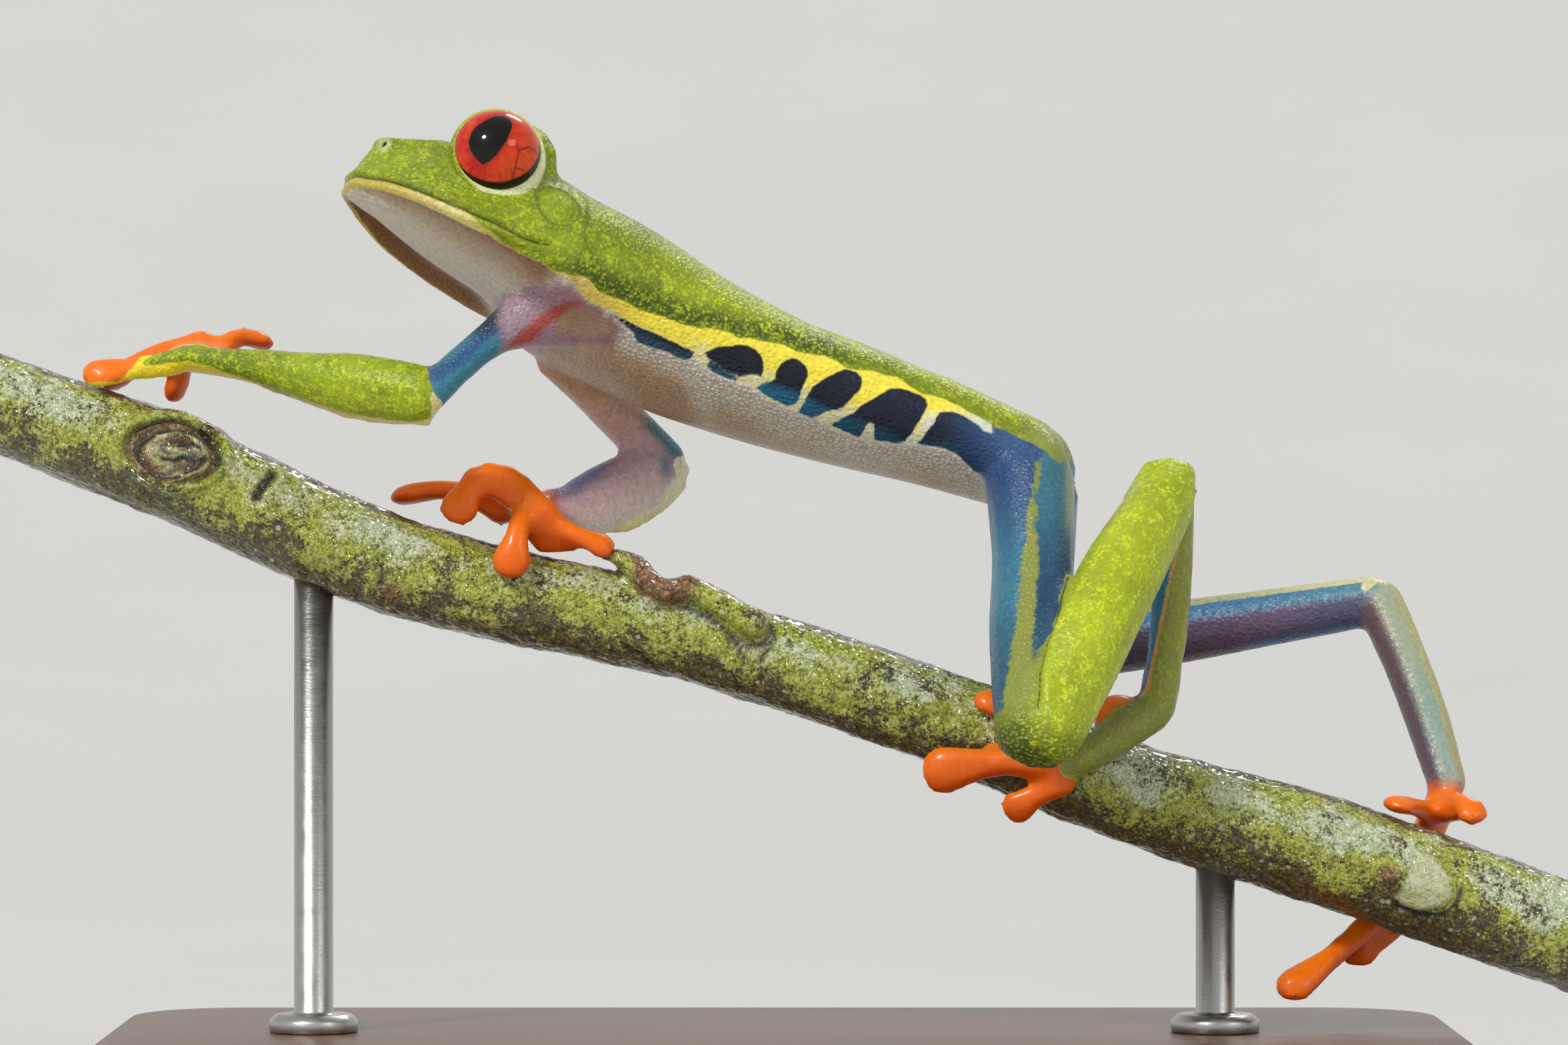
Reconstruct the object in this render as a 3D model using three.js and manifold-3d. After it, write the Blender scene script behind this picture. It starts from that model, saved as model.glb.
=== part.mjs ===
// A life-size red-eyed tree frog striding up a sloping length of branch, which two rods hold
// above a flat base.
// Millimetres, +Z up. The head looks towards -X and the frog's left side faces -Y.
// The origin is the middle of the underside of the base.

import * as THREE from "three";
import { mergeVertices } from "three/addons/utils/BufferGeometryUtils.js";
import Module from "manifold-3d";

const wasm = await Module();
wasm.setup();

// ---------------------------------------------------------------- driving dimensions

const GAP = 0.3; // clear space between two pieces that touch
const CAP_ROWS = 2; // rows of faces in each rounded end of a loft

const BASE = { length: 104, width: 52, height: 6, corner: 9, bevel: 0.8 };
const ROD = { radius: 1.5, footRadius: 3.4, footHeight: 1.4, sides: 14 };
const ROD_PLACES = { stand_rod_front: -36, stand_rod_back: 33 }; // x of each rod

// The head's own frame: the tip of the snout on the line of the mouth, and three turns.
// Points on the head are given as (back from the tip, out from the middle, up from the mouth).
const SNOUT = new THREE.Vector3(-33.6, -4.2, 70.9);
const HEAD_PITCH = 30.5; // nose up
const HEAD_YAW = 6; // nose towards -Y
const HEAD_ROLL = 13; // left side up
const TRUNK_ROLL = 14; // left side up

const EYE = { radius: 3.05, back: 9.05, out: 7.0, up: 5.75 };
const EYE_GAZE = { forward: 0.12, up: 0.1 }; // how far each eye looks forward and up of straight out
const SOCKET = { wall: 0.5, open: 1.25 }; // the lids end this far out from the middle of the eye
const LOWER_LID = { radius: 3.45, thickness: 0.36, sunk: 0.3, down: 0.35 };
const BROW = { radius: 3.8, back: 10.1, out: 5.2, up: 6.3 };
const EAR = { radius: 1.65, rim: 0.25, back: 14.6, out: 8.5, up: 4.2 };
const NOSTRIL = { back: 1.3, out: 2.65, up: 3.85, pit: 0.42 };
// The ridge from each nostril to its eye: back, out, up, half width, height above, depth below.
const RIDGE = [
  [1.5, 1.9, 3.3, 0.95, 0.95, 1.4],
  [3.4, 3.0, 3.9, 1.2, 1.0, 2.8],
  [6.2, 4.2, 4.45, 1.9, 1.6, 3.6],
];
const LIP = { proud: 0.22, upper: 0.55, lower: 1.0 };
const MOUTH_END = 16.8; // how far back of the snout the jaw is a piece of its own
const CHEST_END = 35; // where the chest meets the abdomen, back from the snout

// ---------------------------------------------------------------- vectors and frames

const vec = (x, y, z) => new THREE.Vector3(x, y, z);
const list = (v) => [v.x, v.y, v.z];
const rad = THREE.MathUtils.degToRad;
const between = (a, b, t) => a.clone().lerp(b, t);

// Axes of a body that faces -X: forward, left and up, after pitch, yaw and roll in degrees.
function bodyAxes(pitch, yaw, roll) {
  const turn = new THREE.Matrix4()
    .makeRotationZ(rad(yaw))
    .multiply(new THREE.Matrix4().makeRotationY(rad(pitch)))
    .multiply(new THREE.Matrix4().makeRotationX(rad(-roll)));
  return {
    forward: vec(-1, 0, 0).applyMatrix4(turn),
    left: vec(0, -1, 0).applyMatrix4(turn),
    up: vec(0, 0, 1).applyMatrix4(turn),
  };
}

const head = bodyAxes(HEAD_PITCH, HEAD_YAW, HEAD_ROLL);

function onHead(back, out, up) {
  return SNOUT.clone()
    .addScaledVector(head.forward, -back)
    .addScaledVector(head.left, out)
    .addScaledVector(head.up, up);
}

// ---------------------------------------------------------------- solids

// A manifold-3d solid of a closed geometry, turned the right way out.
function solid(geometry) {
  const bare = geometry.clone();
  for (const name of Object.keys(bare.attributes)) {
    if (name !== "position") bare.deleteAttribute(name);
  }
  const merged = mergeVertices(bare, 1e-4);
  const triVerts = new Uint32Array(merged.index.array);
  const vertProperties = new Float32Array(merged.attributes.position.array);
  const make = () => new wasm.Manifold(new wasm.Mesh({ numProp: 3, vertProperties, triVerts }));
  const made = make();
  if (made.volume() > 0) return made;
  for (let i = 0; i < triVerts.length; i += 3) {
    [triVerts[i + 1], triVerts[i + 2]] = [triVerts[i + 2], triVerts[i + 1]];
  }
  return make();
}

// The part of a solid on the side of a plane that the normal points to, a distance off it.
function keep(body, point, normal, off = GAP / 2) {
  const n = normal.clone().normalize();
  return body.trimByPlane(list(n), n.dot(point) + off);
}

// The largest closed piece of a solid.
function largest(body) {
  return body.decompose().reduce((a, b) => (b.volume() > a.volume() ? b : a));
}

function joined(first, ...rest) {
  return rest.reduce((all, next) => all.add(next), first);
}

// A solid cut clear of others; each of those is a function that makes itself grown by a distance.
function clearOf(body, ...others) {
  return largest(others.reduce((left, other) => left.subtract(other(GAP)), body));
}

function ball(centre, radius, around = 20, axis = vec(0, 0, 1)) {
  const geometry = new THREE.SphereGeometry(radius, around, Math.round(around * 0.6));
  geometry.rotateX(Math.PI / 2);
  const turn = new THREE.Quaternion().setFromUnitVectors(vec(0, 0, 1), axis.clone().normalize());
  geometry.applyQuaternion(turn);
  geometry.translate(centre.x, centre.y, centre.z);
  return solid(geometry);
}

function ring(centre, axis, radius, tube, around = 24, sides = 6) {
  const geometry = new THREE.TorusGeometry(radius, tube, sides, around);
  const turn = new THREE.Quaternion().setFromUnitVectors(vec(0, 0, 1), axis.clone().normalize());
  geometry.applyQuaternion(turn);
  geometry.translate(centre.x, centre.y, centre.z);
  return solid(geometry);
}

// A body through stations, each [centre, half width, height above, depth below, power above,
// power below]. A power of 2 is round, more is squarer and less is more pointed.
// It is a sphere whose rows are laid along a curve through the centres, with rounded ends.
function loft(stations, { up = vec(0, 0, 1), around = 16, rows = 12, caps = [1, 1], grow = 0 } = {}) {
  const full = stations.map(([at, side, top = side, bottom = top, over = 2, under = over]) => ({
    at,
    size: vec(side, top, bottom),
    power: vec(over, under, 0),
  }));
  const path = new THREE.CatmullRomCurve3(full.map((s) => s.at));
  const sizes = new THREE.CatmullRomCurve3(full.map((s) => s.size));
  const powers = new THREE.CatmullRomCurve3(full.map((s) => s.power));
  const allRows = rows + 2 * CAP_ROWS;
  const geometry = new THREE.SphereGeometry(1, around, allRows);
  const position = geometry.attributes.position;
  for (let row = 0; row <= allRows; row++) {
    const fromStart = Math.min(row / CAP_ROWS, 1);
    const fromEnd = Math.min((allRows - row) / CAP_ROWS, 1);
    const round = Math.min(fromStart, fromEnd) * (Math.PI / 2);
    const t = THREE.MathUtils.clamp((row - CAP_ROWS) / rows, 0, 1);
    const along = path.getTangent(t);
    const lift = up.clone().addScaledVector(along, -up.dot(along)).normalize();
    const across = along.clone().cross(lift);
    const size = sizes.getPoint(t).addScalar(grow);
    const power = powers.getPoint(t);
    const cap = row < allRows / 2 ? -(caps[0] + grow) : caps[1] + grow;
    const centre = path.getPoint(t).addScaledVector(along, cap * Math.cos(round));
    const shrink = Math.sin(round);
    for (let column = 0; column <= around; column++) {
      const angle = (column / around) * 2 * Math.PI;
      const [c, s] = [Math.cos(angle), Math.sin(angle)];
      const bend = 2 / (s > 0 ? power.x : power.y);
      const wide = Math.sign(c) * Math.abs(c) ** bend * size.x;
      const high = Math.sign(s) * Math.abs(s) ** bend * (s > 0 ? size.y : size.z);
      const point = centre
        .clone()
        .addScaledVector(across, column === around ? size.x * shrink : wide * shrink)
        .addScaledVector(lift, column === around ? 0 : high * shrink);
      position.setXYZ(row * (around + 1) + column, ...list(point));
    }
  }
  return solid(geometry);
}

// ---------------------------------------------------------------- trunk and head

const trunkUp = vec(0, Math.sin(rad(TRUNK_ROLL)), Math.cos(rad(TRUNK_ROLL)));

// From the snout to the vent: centre, half width, height above, depth below, powers.
const TRUNK = [
  [onHead(1.3, 0, 0.5), 3.4, 2.9, 1.1, 2.2, 2.4],
  [onHead(2.8, 0, 0.6), 5.6, 4.1, 1.5, 1.9, 2.5],
  [onHead(5.4, 0, 0.7), 7.6, 5.1, 2.0, 1.8, 2.6],
  [onHead(9.2, 0, 0.8), 9.0, 6.4, 2.5, 1.9, 2.6],
  [onHead(13.6, 0, 1.0), 9.6, 7.4, 2.9, 2.1, 2.5],
  [onHead(18.0, 0, 1.2), 9.2, 7.1, 3.8, 2.2, 2.3],
  [vec(-12.6, -0.6, 61.0), 8.6, 6.4, 5.4, 2.1, 2.1],
  [vec(-7.6, 0.3, 58.9), 8.3, 5.4, 5.8],
  [vec(-1.2, 0.8, 56.3), 7.7, 4.6, 5.3],
  [vec(5.2, 1, 53.8), 6.8, 4.2, 4.5],
  [vec(11.8, 1, 51.3), 5.9, 3.4, 3.5],
  [vec(17.4, 1, 49.3), 5.0, 3.1, 3.1],
  [vec(20.7, 1, 48.1), 3.4, 2.4, 2.4],
];

const trunk = (grow = 0) =>
  loft(TRUNK, { up: trunkUp, around: 26, rows: 34, caps: [0.9, 1.6], grow });

const neckPoint = onHead(MOUTH_END, 0, 0);
const neckNormal = head.forward.clone().addScaledVector(head.up, 0.45);
const chestPoint = onHead(CHEST_END, 0, 0);
const chestNormal = vec(-1, 0, 0.45);

function eyeAxis(side) {
  return head.left
    .clone()
    .multiplyScalar(side)
    .addScaledVector(head.forward, EYE_GAZE.forward)
    .addScaledVector(head.up, EYE_GAZE.up)
    .normalize();
}

const eyeCentre = (side) => onHead(EYE.back, side * EYE.out, EYE.up);

function eyeBall(side, grow = 0) {
  return ball(eyeCentre(side), EYE.radius + grow, 20, eyeAxis(side));
}

// Everything that stands on one side of the upper head.
function headSide(side) {
  const axis = eyeAxis(side);
  const rim = eyeCentre(side).addScaledVector(axis, SOCKET.open);
  const shell = ball(eyeCentre(side), EYE.radius + GAP + SOCKET.wall, 20, axis);
  const socket = keep(shell, rim, axis.clone().negate(), 0);
  const brow = ball(onHead(BROW.back, side * BROW.out, BROW.up), BROW.radius, 16);
  const lowerAt = rim.clone()
    .addScaledVector(axis, -LOWER_LID.sunk)
    .addScaledVector(head.up, -LOWER_LID.down);
  const lowerLid = ring(lowerAt, axis, LOWER_LID.radius, LOWER_LID.thickness, 20, 5);
  const ridge = loft(
    RIDGE.map(([back, out, up, ...size]) => [onHead(back, side * out, up), ...size]),
    { up: head.up, around: 10, rows: 4, caps: [RIDGE[0][3], 1] },
  );
  const earAxis = head.left.clone().multiplyScalar(side).addScaledVector(head.up, 0.45);
  const ear = ring(onHead(EAR.back, side * EAR.out, EAR.up), earAxis, EAR.radius, EAR.rim, 16, 5);
  return joined(socket, brow, lowerLid, ridge, ear);
}

function nostrilPit(side) {
  return ball(onHead(NOSTRIL.back, side * NOSTRIL.out, NOSTRIL.up), NOSTRIL.pit, 8);
}

// A band of the head just proud of it, between two heights off the plane of the mouth.
function lipBand(low, high) {
  const band = keep(trunk(LIP.proud), onHead(0, 0, low), head.up, 0);
  return keep(band, onHead(0, 0, high), head.up.clone().negate(), 0);
}

function makeHead() {
  let body = joined(trunk(), headSide(1), headSide(-1), lipBand(0, LIP.upper));
  body = keep(body, SNOUT, head.up);
  body = keep(body, neckPoint, neckNormal);
  for (const side of [1, -1]) {
    body = body.subtract(eyeBall(side, GAP)).subtract(nostrilPit(side));
  }
  return largest(body);
}

function makeJaw() {
  let body = joined(trunk(), lipBand(-LIP.lower, 0));
  body = keep(body, SNOUT, head.up.clone().negate());
  return largest(keep(body, neckPoint, neckNormal));
}

function makeChest() {
  const body = keep(trunk(), neckPoint, neckNormal.clone().negate());
  return largest(keep(body, chestPoint, chestNormal));
}

function makeAbdomen() {
  return largest(keep(trunk(), chestPoint, chestNormal.clone().negate()));
}

// ---------------------------------------------------------------- branch

// Along the branch: centre and radius.
const PERCH = [
  [vec(-62, 0, 54.85), 3.65],
  [vec(-46.8, 0, 49.15), 4.0],
  [vec(-30, 0, 41.7), 3.8],
  [vec(-7.2, 0, 36.3), 3.5],
  [vec(12, 0, 30.1), 3.6],
  [vec(27, 0, 24.1), 3.9],
  [vec(42, 0, 19.7), 4.2],
  [vec(62, 0, 12.6), 4.1],
];

const TWIG = [
  [vec(-1.6, -1.6, 36.2), 1.4],
  [vec(-4.4, -2.2, 38.4), 1.2],
  [vec(-7.3, -2.4, 39.9), 1.15],
  [vec(-9.4, -2.2, 39.9), 0.95],
  [vec(-12.8, -1.6, 42.4), 0.6],
];

const KNOT = { x: -46.8, angle: 70, sunk: 0.5, radius: 2.5, rim: 0.8 };

const perchStem = (grow = 0) => loft(PERCH, { around: 18, rows: 21, caps: [0.01, 0.01], grow });

function makePerch() {
  const twig = loft(TWIG, { around: 8, rows: 8, caps: [1, 0.5] });
  const knotAt = onPerch(KNOT.x, KNOT.angle, -KNOT.sunk);
  const knot = ring(knotAt, outOfPerch(KNOT.angle), KNOT.radius, KNOT.rim, 16, 6);
  return largest(joined(perchStem(), twig, knot));
}

const perch = (grow = 0) =>
  joined(perchStem(grow), loft(TWIG, { around: 8, rows: 8, caps: [1, 0.5], grow }));

// A point on the branch: how far along in x, turned from the top towards -Y, and off the bark.
function onPerch(x, angle, lift = 0) {
  const i = Math.max(1, PERCH.findIndex(([at]) => at.x > x));
  const [[a, ra], [b, rb]] = [PERCH[i - 1], PERCH[i]];
  const t = (x - a.x) / (b.x - a.x);
  const reach = ra + (rb - ra) * t + lift;
  return between(a, b, t).addScaledVector(outOfPerch(angle), reach);
}

const outOfPerch = (angle) => vec(0, -Math.sin(rad(angle)), Math.cos(rad(angle)));

// ---------------------------------------------------------------- limbs

// Each limb's joints, and the lengths between them from the body out. A length's widths are half
// widths across its "up" way, or [across, up, down] where it isn't round; bow pushes its middle
// aside, and a fringe is a fold of skin along the edge that the fringe's way points to. A folded
// joint has its own facing.
const LIMBS = {
  left_arm: {
    joints: [vec(-17.3, -4.6, 61.3), vec(-26.7, -10, 54.6), vec(-39.6, -3.6, 56.8), vec(-45.4, -0.6, 57.5)],
    lengths: [
      { name: "upper_arm_left", widths: [3.4, 2.4, 1.4, 1.25, 1.55], bow: vec(0.2, 0, 1.1) },
      {
        name: "forearm_left",
        widths: [[1.7, 2.2, 2.2], [2.1, 2.4, 2.4], [2.1, 2.4, 2.4], [1.9, 1.8, 1.8], [1.6, 1.4, 1.4]],
        bow: vec(0, 0, -0.2),
        fringe: vec(0.1, 0, -1),
      },
      { name: "hand_left", widths: [[1.6, 1.4, 1.4], [1.7, 1.1, 1.1], [1.9, 1.0, 1.0]] },
    ],
  },
  right_arm: {
    joints: [vec(-17.0, 4.6, 58.4), vec(-9.2, 10, 49.5), vec(-16.4, 3.0, 45.7), vec(-19.6, 0.6, 46.0)],
    lengths: [
      { name: "upper_arm_right", widths: [2.6, 2.0, 1.8, 1.9], bow: vec(-0.5, 0, 0.2) },
      {
        name: "forearm_right",
        widths: [[1.6, 1.7, 1.7], [2.0, 2.4, 2.4], [2.0, 2.5, 2.5], [1.8, 2.2, 2.2]],
        fringe: vec(0.5, 0, -0.85),
      },
      { name: "hand_right", widths: [[1.9, 2.1, 2.1], [2.2, 1.8, 1.6], [2.2, 1.1, 1.1]] },
    ],
  },
  left_leg: {
    joints: [
      vec(18.8, -2.2, 48.2),
      vec(19.3, -19.0, 29.3),
      vec(29.2, -5.5, 47.4),
      vec(28.3, -3.0, 30.6),
      vec(21.8, -4.8, 26.6),
    ],
    facing: { 1: vec(0.81, -0.535, 0.24) },
    lengths: [
      { name: "thigh_left", widths: [3.5, 3.1, 2.9, 2.8], bow: vec(-0.2, 1.0, 0) },
      { name: "shank_left", widths: [2.7, 3.2, 3.1, 2.4], bow: vec(-0.5, -1.2, 0.2) },
      { name: "tarsus_left", widths: [1.9, 1.6, 1.5, 1.5], bow: vec(0.7, 1.2, 0) },
      { name: "foot_left", widths: [[1.5, 1.5, 1.5], [1.6, 1.4, 1.4], [1.8, 1.1, 1.1]] },
    ],
  },
  right_leg: {
    joints: [
      vec(19.3, 4.2, 47.2),
      vec(20.2, 23.0, 34.4),
      vec(46.8, 14.5, 38.9),
      vec(51.3, 5.0, 24.6),
      vec(48.8, 5.7, 18.6),
    ],
    lengths: [
      { name: "thigh_right", widths: [3.4, 3.2, 2.9, 2.6] },
      { name: "shank_right", widths: [2.5, 2.6, 2.3, 2.0] },
      { name: "tarsus_right", widths: [1.95, 1.8, 1.75, 1.5], bow: vec(0.35, 0, 0.1) },
      { name: "foot_right", widths: [[1.3, 1.3, 1.3], [1.7, 1.1, 1.1], [1.9, 1.0, 1.0]] },
    ],
  },
};
const FRINGE = { width: 0.45, sunk: 0.15 };

// The middle of a length of limb, part way along it.
function limbMiddle(from, to, { bow = vec(0, 0, 0) }, t) {
  return between(from, to, t).addScaledVector(bow, Math.sin(t * Math.PI));
}

function lengthLoft(from, to, length, grow = 0) {
  const { widths } = length;
  const last = widths.length - 1;
  const stations = widths.map((width, i) => [limbMiddle(from, to, length, i / last), ...[width].flat()]);
  const caps = [0.8 * stations[0][1], 0.8 * stations[last][1]];
  return loft(stations, { up: vec(0, 0.2, 1), around: 12, rows: 6, caps, grow });
}

function fringeLoft(from, to, length, grow = 0) {
  const { widths, fringe } = length;
  const last = widths.length - 1;
  const stations = widths.map(([, , down], i) => [
    limbMiddle(from, to, length, i / last).addScaledVector(fringe, down - FRINGE.sunk),
    FRINGE.width,
  ]);
  return loft(stations, { around: 6, rows: 6, caps: [1.1, 0.3], grow });
}

function wholeLength(from, to, length, grow = 0) {
  const body = lengthLoft(from, to, length, grow);
  return length.fringe ? body.add(fringeLoft(from, to, length, grow)) : body;
}

// The plane in which one length of a limb meets the next faces along the sum of their ways,
// unless the limb is folded there and its own way of facing is given.
function jointNormal({ joints, facing = {} }, i) {
  if (facing[i]) return facing[i].clone().normalize();
  const into = joints[i].clone().sub(joints[i - 1]).normalize();
  const out = joints[i + 1].clone().sub(joints[i]).normalize();
  return into.add(out).normalize();
}

function makeLimb(limb) {
  const { joints, lengths } = limb;
  return lengths.map((length, i) => {
    let body = wholeLength(joints[i], joints[i + 1], length);
    if (i > 0) body = keep(body, joints[i], jointNormal(limb, i));
    if (i < lengths.length - 1) {
      body = keep(body, joints[i + 1], jointNormal(limb, i + 1).negate());
    }
    return [length.name, body];
  });
}

// ---------------------------------------------------------------- fingers and toes

// Each digit: its root, a point on its way, the middle of its pad, the way the pad's back faces,
// and how stout it is.
const DIGITS = {
  finger_left_1: [vec(-43.0, 0.6, 58.2), vec(-41.8, 2.0, 59.3), vec(-40.4, 2.8, 58.9), vec(0.3, 0.2, 1), 0.9],
  finger_left_2: [
    vec(-44.4, 1.0, 58.7), vec(-45.4, 2.4, 58.9), vec(-46.8, 3.0, 55.2),
    vec(-0.8, 0.4, 0.4), 0.9,
  ],
  finger_left_3: [
    vec(-45.4, 1.0, 58.4), vec(-48.4, 1.6, 57.8), vec(-51.4, 2.2, 56.0),
    vec(-0.2, 0.3, 0.9), 1,
  ],
  finger_left_4: [
    vec(-46.6, -0.8, 57.2), vec(-49.0, -1.4, 56.8), vec(-52.1, -1.3, 56.3),
    vec(0, -0.5, 0.85), 1.05,
  ],
  finger_right_1: [
    vec(-17.6, -1.4, 44.6), vec(-15.6, -2.0, 43.9), vec(-13.9, -1.8, 43.2),
    vec(0.2, -0.6, 0.8), 0.9,
  ],
  finger_right_2: [
    vec(-19.6, -1.6, 45.6), vec(-20.2, -3.6, 44.4), vec(-20.7, -4.3, 42.0),
    vec(0, -1, 0.35), 1.05,
  ],
  finger_right_3: [
    vec(-20.8, -0.9, 47.0), vec(-23.3, -1.3, 48.2), vec(-24.8, -1.8, 46.1),
    vec(-0.2, -1, 0.2), 1.05,
  ],
  finger_right_4: [vec(-21.4, 1.6, 45.6), vec(-25.2, 1.6, 47.5), vec(-29.0, 1.6, 47.0), vec(0, 0.2, 1), 1],
  toe_left_1: [vec(24.6, -3.6, 29.0), vec(24.2, -2.4, 30.8), vec(25.6, -1.8, 31.2), vec(0, -0.3, 1), 0.8],
  toe_left_2: [vec(21.8, -4.2, 28.2), vec(18.8, -3.8, 30.0), vec(15.4, -3.2, 31.4), vec(0, -0.7, 0.7), 0.8],
  toe_left_3: [vec(20.6, -4.6, 28.0), vec(18.6, -4.5, 28.5), vec(15.8, -4.4, 28.4), vec(0, -1, 0.3), 0.8],
  toe_left_4: [vec(20.0, -5.2, 26.8), vec(16.6, -5.1, 26.9), vec(12.0, -4.7, 26.2), vec(0, -1, 0), 1.25],
  toe_left_5: [vec(21.4, -5.0, 25.2), vec(19.6, -5.0, 24.5), vec(17.7, -4.5, 23.4), vec(0, -1, -0.3), 0.95],
  toe_right_1: [vec(50.0, 4.2, 22.4), vec(48.6, 1.8, 23.1), vec(47.0, 0.2, 23.3), vec(0, -0.3, 1), 0.9],
  toe_right_2: [vec(47.4, 5.9, 17.6), vec(44.4, 5.9, 17.0), vec(41.4, 4.9, 16.6), vec(0, 1, -0.4), 0.9],
  toe_right_3: [vec(47.4, 5.0, 16.2), vec(43.1, 2.0, 12.4), vec(38.9, -0.6, 9.5), vec(-0.3, -0.8, 0.5), 1.05],
  toe_right_4: [vec(48.6, 5.4, 15.8), vec(47.0, 4.8, 13.4), vec(44.0, 4.4, 11.9), vec(-0.1, -0.8, 0.5), 0.95],
  toe_right_5: [vec(51.2, 3.6, 23.0), vec(51.9, 1.6, 23.6), vec(52.7, 0.4, 22.7), vec(0.1, -0.6, 0.8), 0.9],
};

const DIGIT = { root: 1.0, middle: 0.85, pad: 1.5, back: 0.85, sole: 0.6 };

function digit([root, way, pad, back, stout], grow = 0) {
  const path = new THREE.CatmullRomCurve3([root, way, pad]);
  const at = (t, side, top, bottom) => [path.getPoint(t), ...[side, top, bottom].map((w) => w * stout)];
  const { middle } = DIGIT;
  const stations = [
    at(0, DIGIT.root, DIGIT.root, DIGIT.root),
    at(0.35, middle, middle, middle),
    at(0.65, middle, middle * 0.9, middle * 0.8),
    at(0.87, DIGIT.pad * 0.88, DIGIT.back, DIGIT.sole),
    at(1, DIGIT.pad, DIGIT.back, DIGIT.sole),
  ];
  return loft(stations, { up: back, around: 8, rows: 6, caps: [0.5, DIGIT.pad * stout * 0.85], grow });
}

// ---------------------------------------------------------------- stand

function makeBase() {
  const [x, y, r] = [BASE.length / 2 - BASE.bevel, BASE.width / 2 - BASE.bevel, BASE.corner];
  const outline = new THREE.Shape();
  outline.moveTo(r - x, -y);
  outline.lineTo(x - r, -y);
  outline.absarc(x - r, r - y, r, -Math.PI / 2, 0);
  outline.lineTo(x, y - r);
  outline.absarc(x - r, y - r, r, 0, Math.PI / 2);
  outline.lineTo(r - x, y);
  outline.absarc(r - x, y - r, r, Math.PI / 2, Math.PI);
  outline.lineTo(-x, r - y);
  outline.absarc(r - x, r - y, r, Math.PI, 1.5 * Math.PI);
  const plate = new THREE.ExtrudeGeometry(outline, {
    depth: BASE.height - 2 * BASE.bevel,
    bevelThickness: BASE.bevel,
    bevelSize: BASE.bevel,
    bevelSegments: 1,
    curveSegments: 5,
  });
  plate.translate(0, 0, BASE.bevel);
  return solid(plate);
}

function makeRod(x) {
  const floor = BASE.height + GAP;
  const top = onPerch(x, 0).z;
  const profile = [
    new THREE.Vector2(0, floor),
    new THREE.Vector2(ROD.footRadius, floor),
    new THREE.Vector2(ROD.footRadius, floor + ROD.footHeight * 0.6),
    new THREE.Vector2(ROD.footRadius - 0.5, floor + ROD.footHeight),
    new THREE.Vector2(ROD.radius, floor + ROD.footHeight),
    new THREE.Vector2(ROD.radius, top),
    new THREE.Vector2(0, top),
  ];
  const rod = new THREE.LatheGeometry(profile, ROD.sides);
  rod.rotateX(Math.PI / 2);
  rod.translate(x, 0, 0);
  const whole = solid(rod).subtract(perch(GAP));
  return whole.decompose().reduce((a, b) => (b.boundingBox().min[2] < a.boundingBox().min[2] ? b : a));
}

// ---------------------------------------------------------------- assembly

const SKIN_GREEN = 0x7fb31a;
const COLOURS = {
  head: SKIN_GREEN,
  jaw: 0xe4dcae,
  chest: SKIN_GREEN,
  abdomen: SKIN_GREEN,
  eye: 0xc8200c,
  upper_arm: 0x3a6d9a,
  forearm: 0x9ab82a,
  hand: 0xe0a63a,
  finger: 0xf2600f,
  thigh: 0x2b5f94,
  shank: 0x8ec01c,
  tarsus: 0x8d9c3a,
  foot: 0xb8863a,
  toe: 0xf2600f,
  perch: 0x6f7340,
  stand_base: 0x4a2d1b,
  stand_rod: 0xb8bcc0,
};

function colourOf(name) {
  const kind = Object.keys(COLOURS).filter((key) => name.startsWith(key));
  return COLOURS[kind.sort((a, b) => b.length - a.length)[0]];
}

const frog = new THREE.Group();

function addPiece(name, body) {
  const { vertProperties, triVerts } = body.getMesh();
  const geometry = new THREE.BufferGeometry();
  geometry.setAttribute("position", new THREE.BufferAttribute(vertProperties, 3));
  geometry.setIndex(new THREE.BufferAttribute(triVerts, 1));
  geometry.computeVertexNormals();
  const metal = name.startsWith("stand_rod");
  const material = new THREE.MeshStandardMaterial({
    color: colourOf(name),
    roughness: metal ? 0.3 : 0.45,
    metalness: metal ? 1 : 0,
  });
  const mesh = new THREE.Mesh(geometry, material);
  mesh.name = name;
  frog.add(mesh);
}

addPiece("head", makeHead());
addPiece("jaw", makeJaw());
addPiece("chest", makeChest());
addPiece("abdomen", makeAbdomen());
addPiece("eye_left", eyeBall(1));
addPiece("eye_right", eyeBall(-1));
addPiece("perch", makePerch());
addPiece("stand_base", makeBase());
for (const [name, x] of Object.entries(ROD_PLACES)) addPiece(name, makeRod(x));

const done = [];
for (const limb of Object.values(LIMBS)) {
  makeLimb(limb).forEach(([name, body], i) => {
    const grown = (grow) => wholeLength(limb.joints[i], limb.joints[i + 1], limb.lengths[i], grow);
    const clear = clearOf(body, trunk, perch);
    addPiece(name, clear);
    done.push([name, grown]);
  });
}

const ENDS = {
  finger_left: "hand_left",
  finger_right: "hand_right",
  toe_left: "foot_left",
  toe_right: "foot_right",
};
for (const [name, way] of Object.entries(DIGITS)) {
  const set = name.slice(0, name.lastIndexOf("_"));
  const palm = done.find(([other]) => other === ENDS[set])[1];
  const before = done.filter(([other]) => other.startsWith(set)).map(([, grown]) => grown);
  addPiece(name, clearOf(digit(way), perch, palm, ...before));
  done.push([name, (grow) => digit(way, grow)]);
}

export default frog;
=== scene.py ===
import math
from functools import partial

import bmesh
import bpy
import numpy as np
from mathutils import Matrix, Vector, noise
from mathutils.bvhtree import BVHTree


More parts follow.
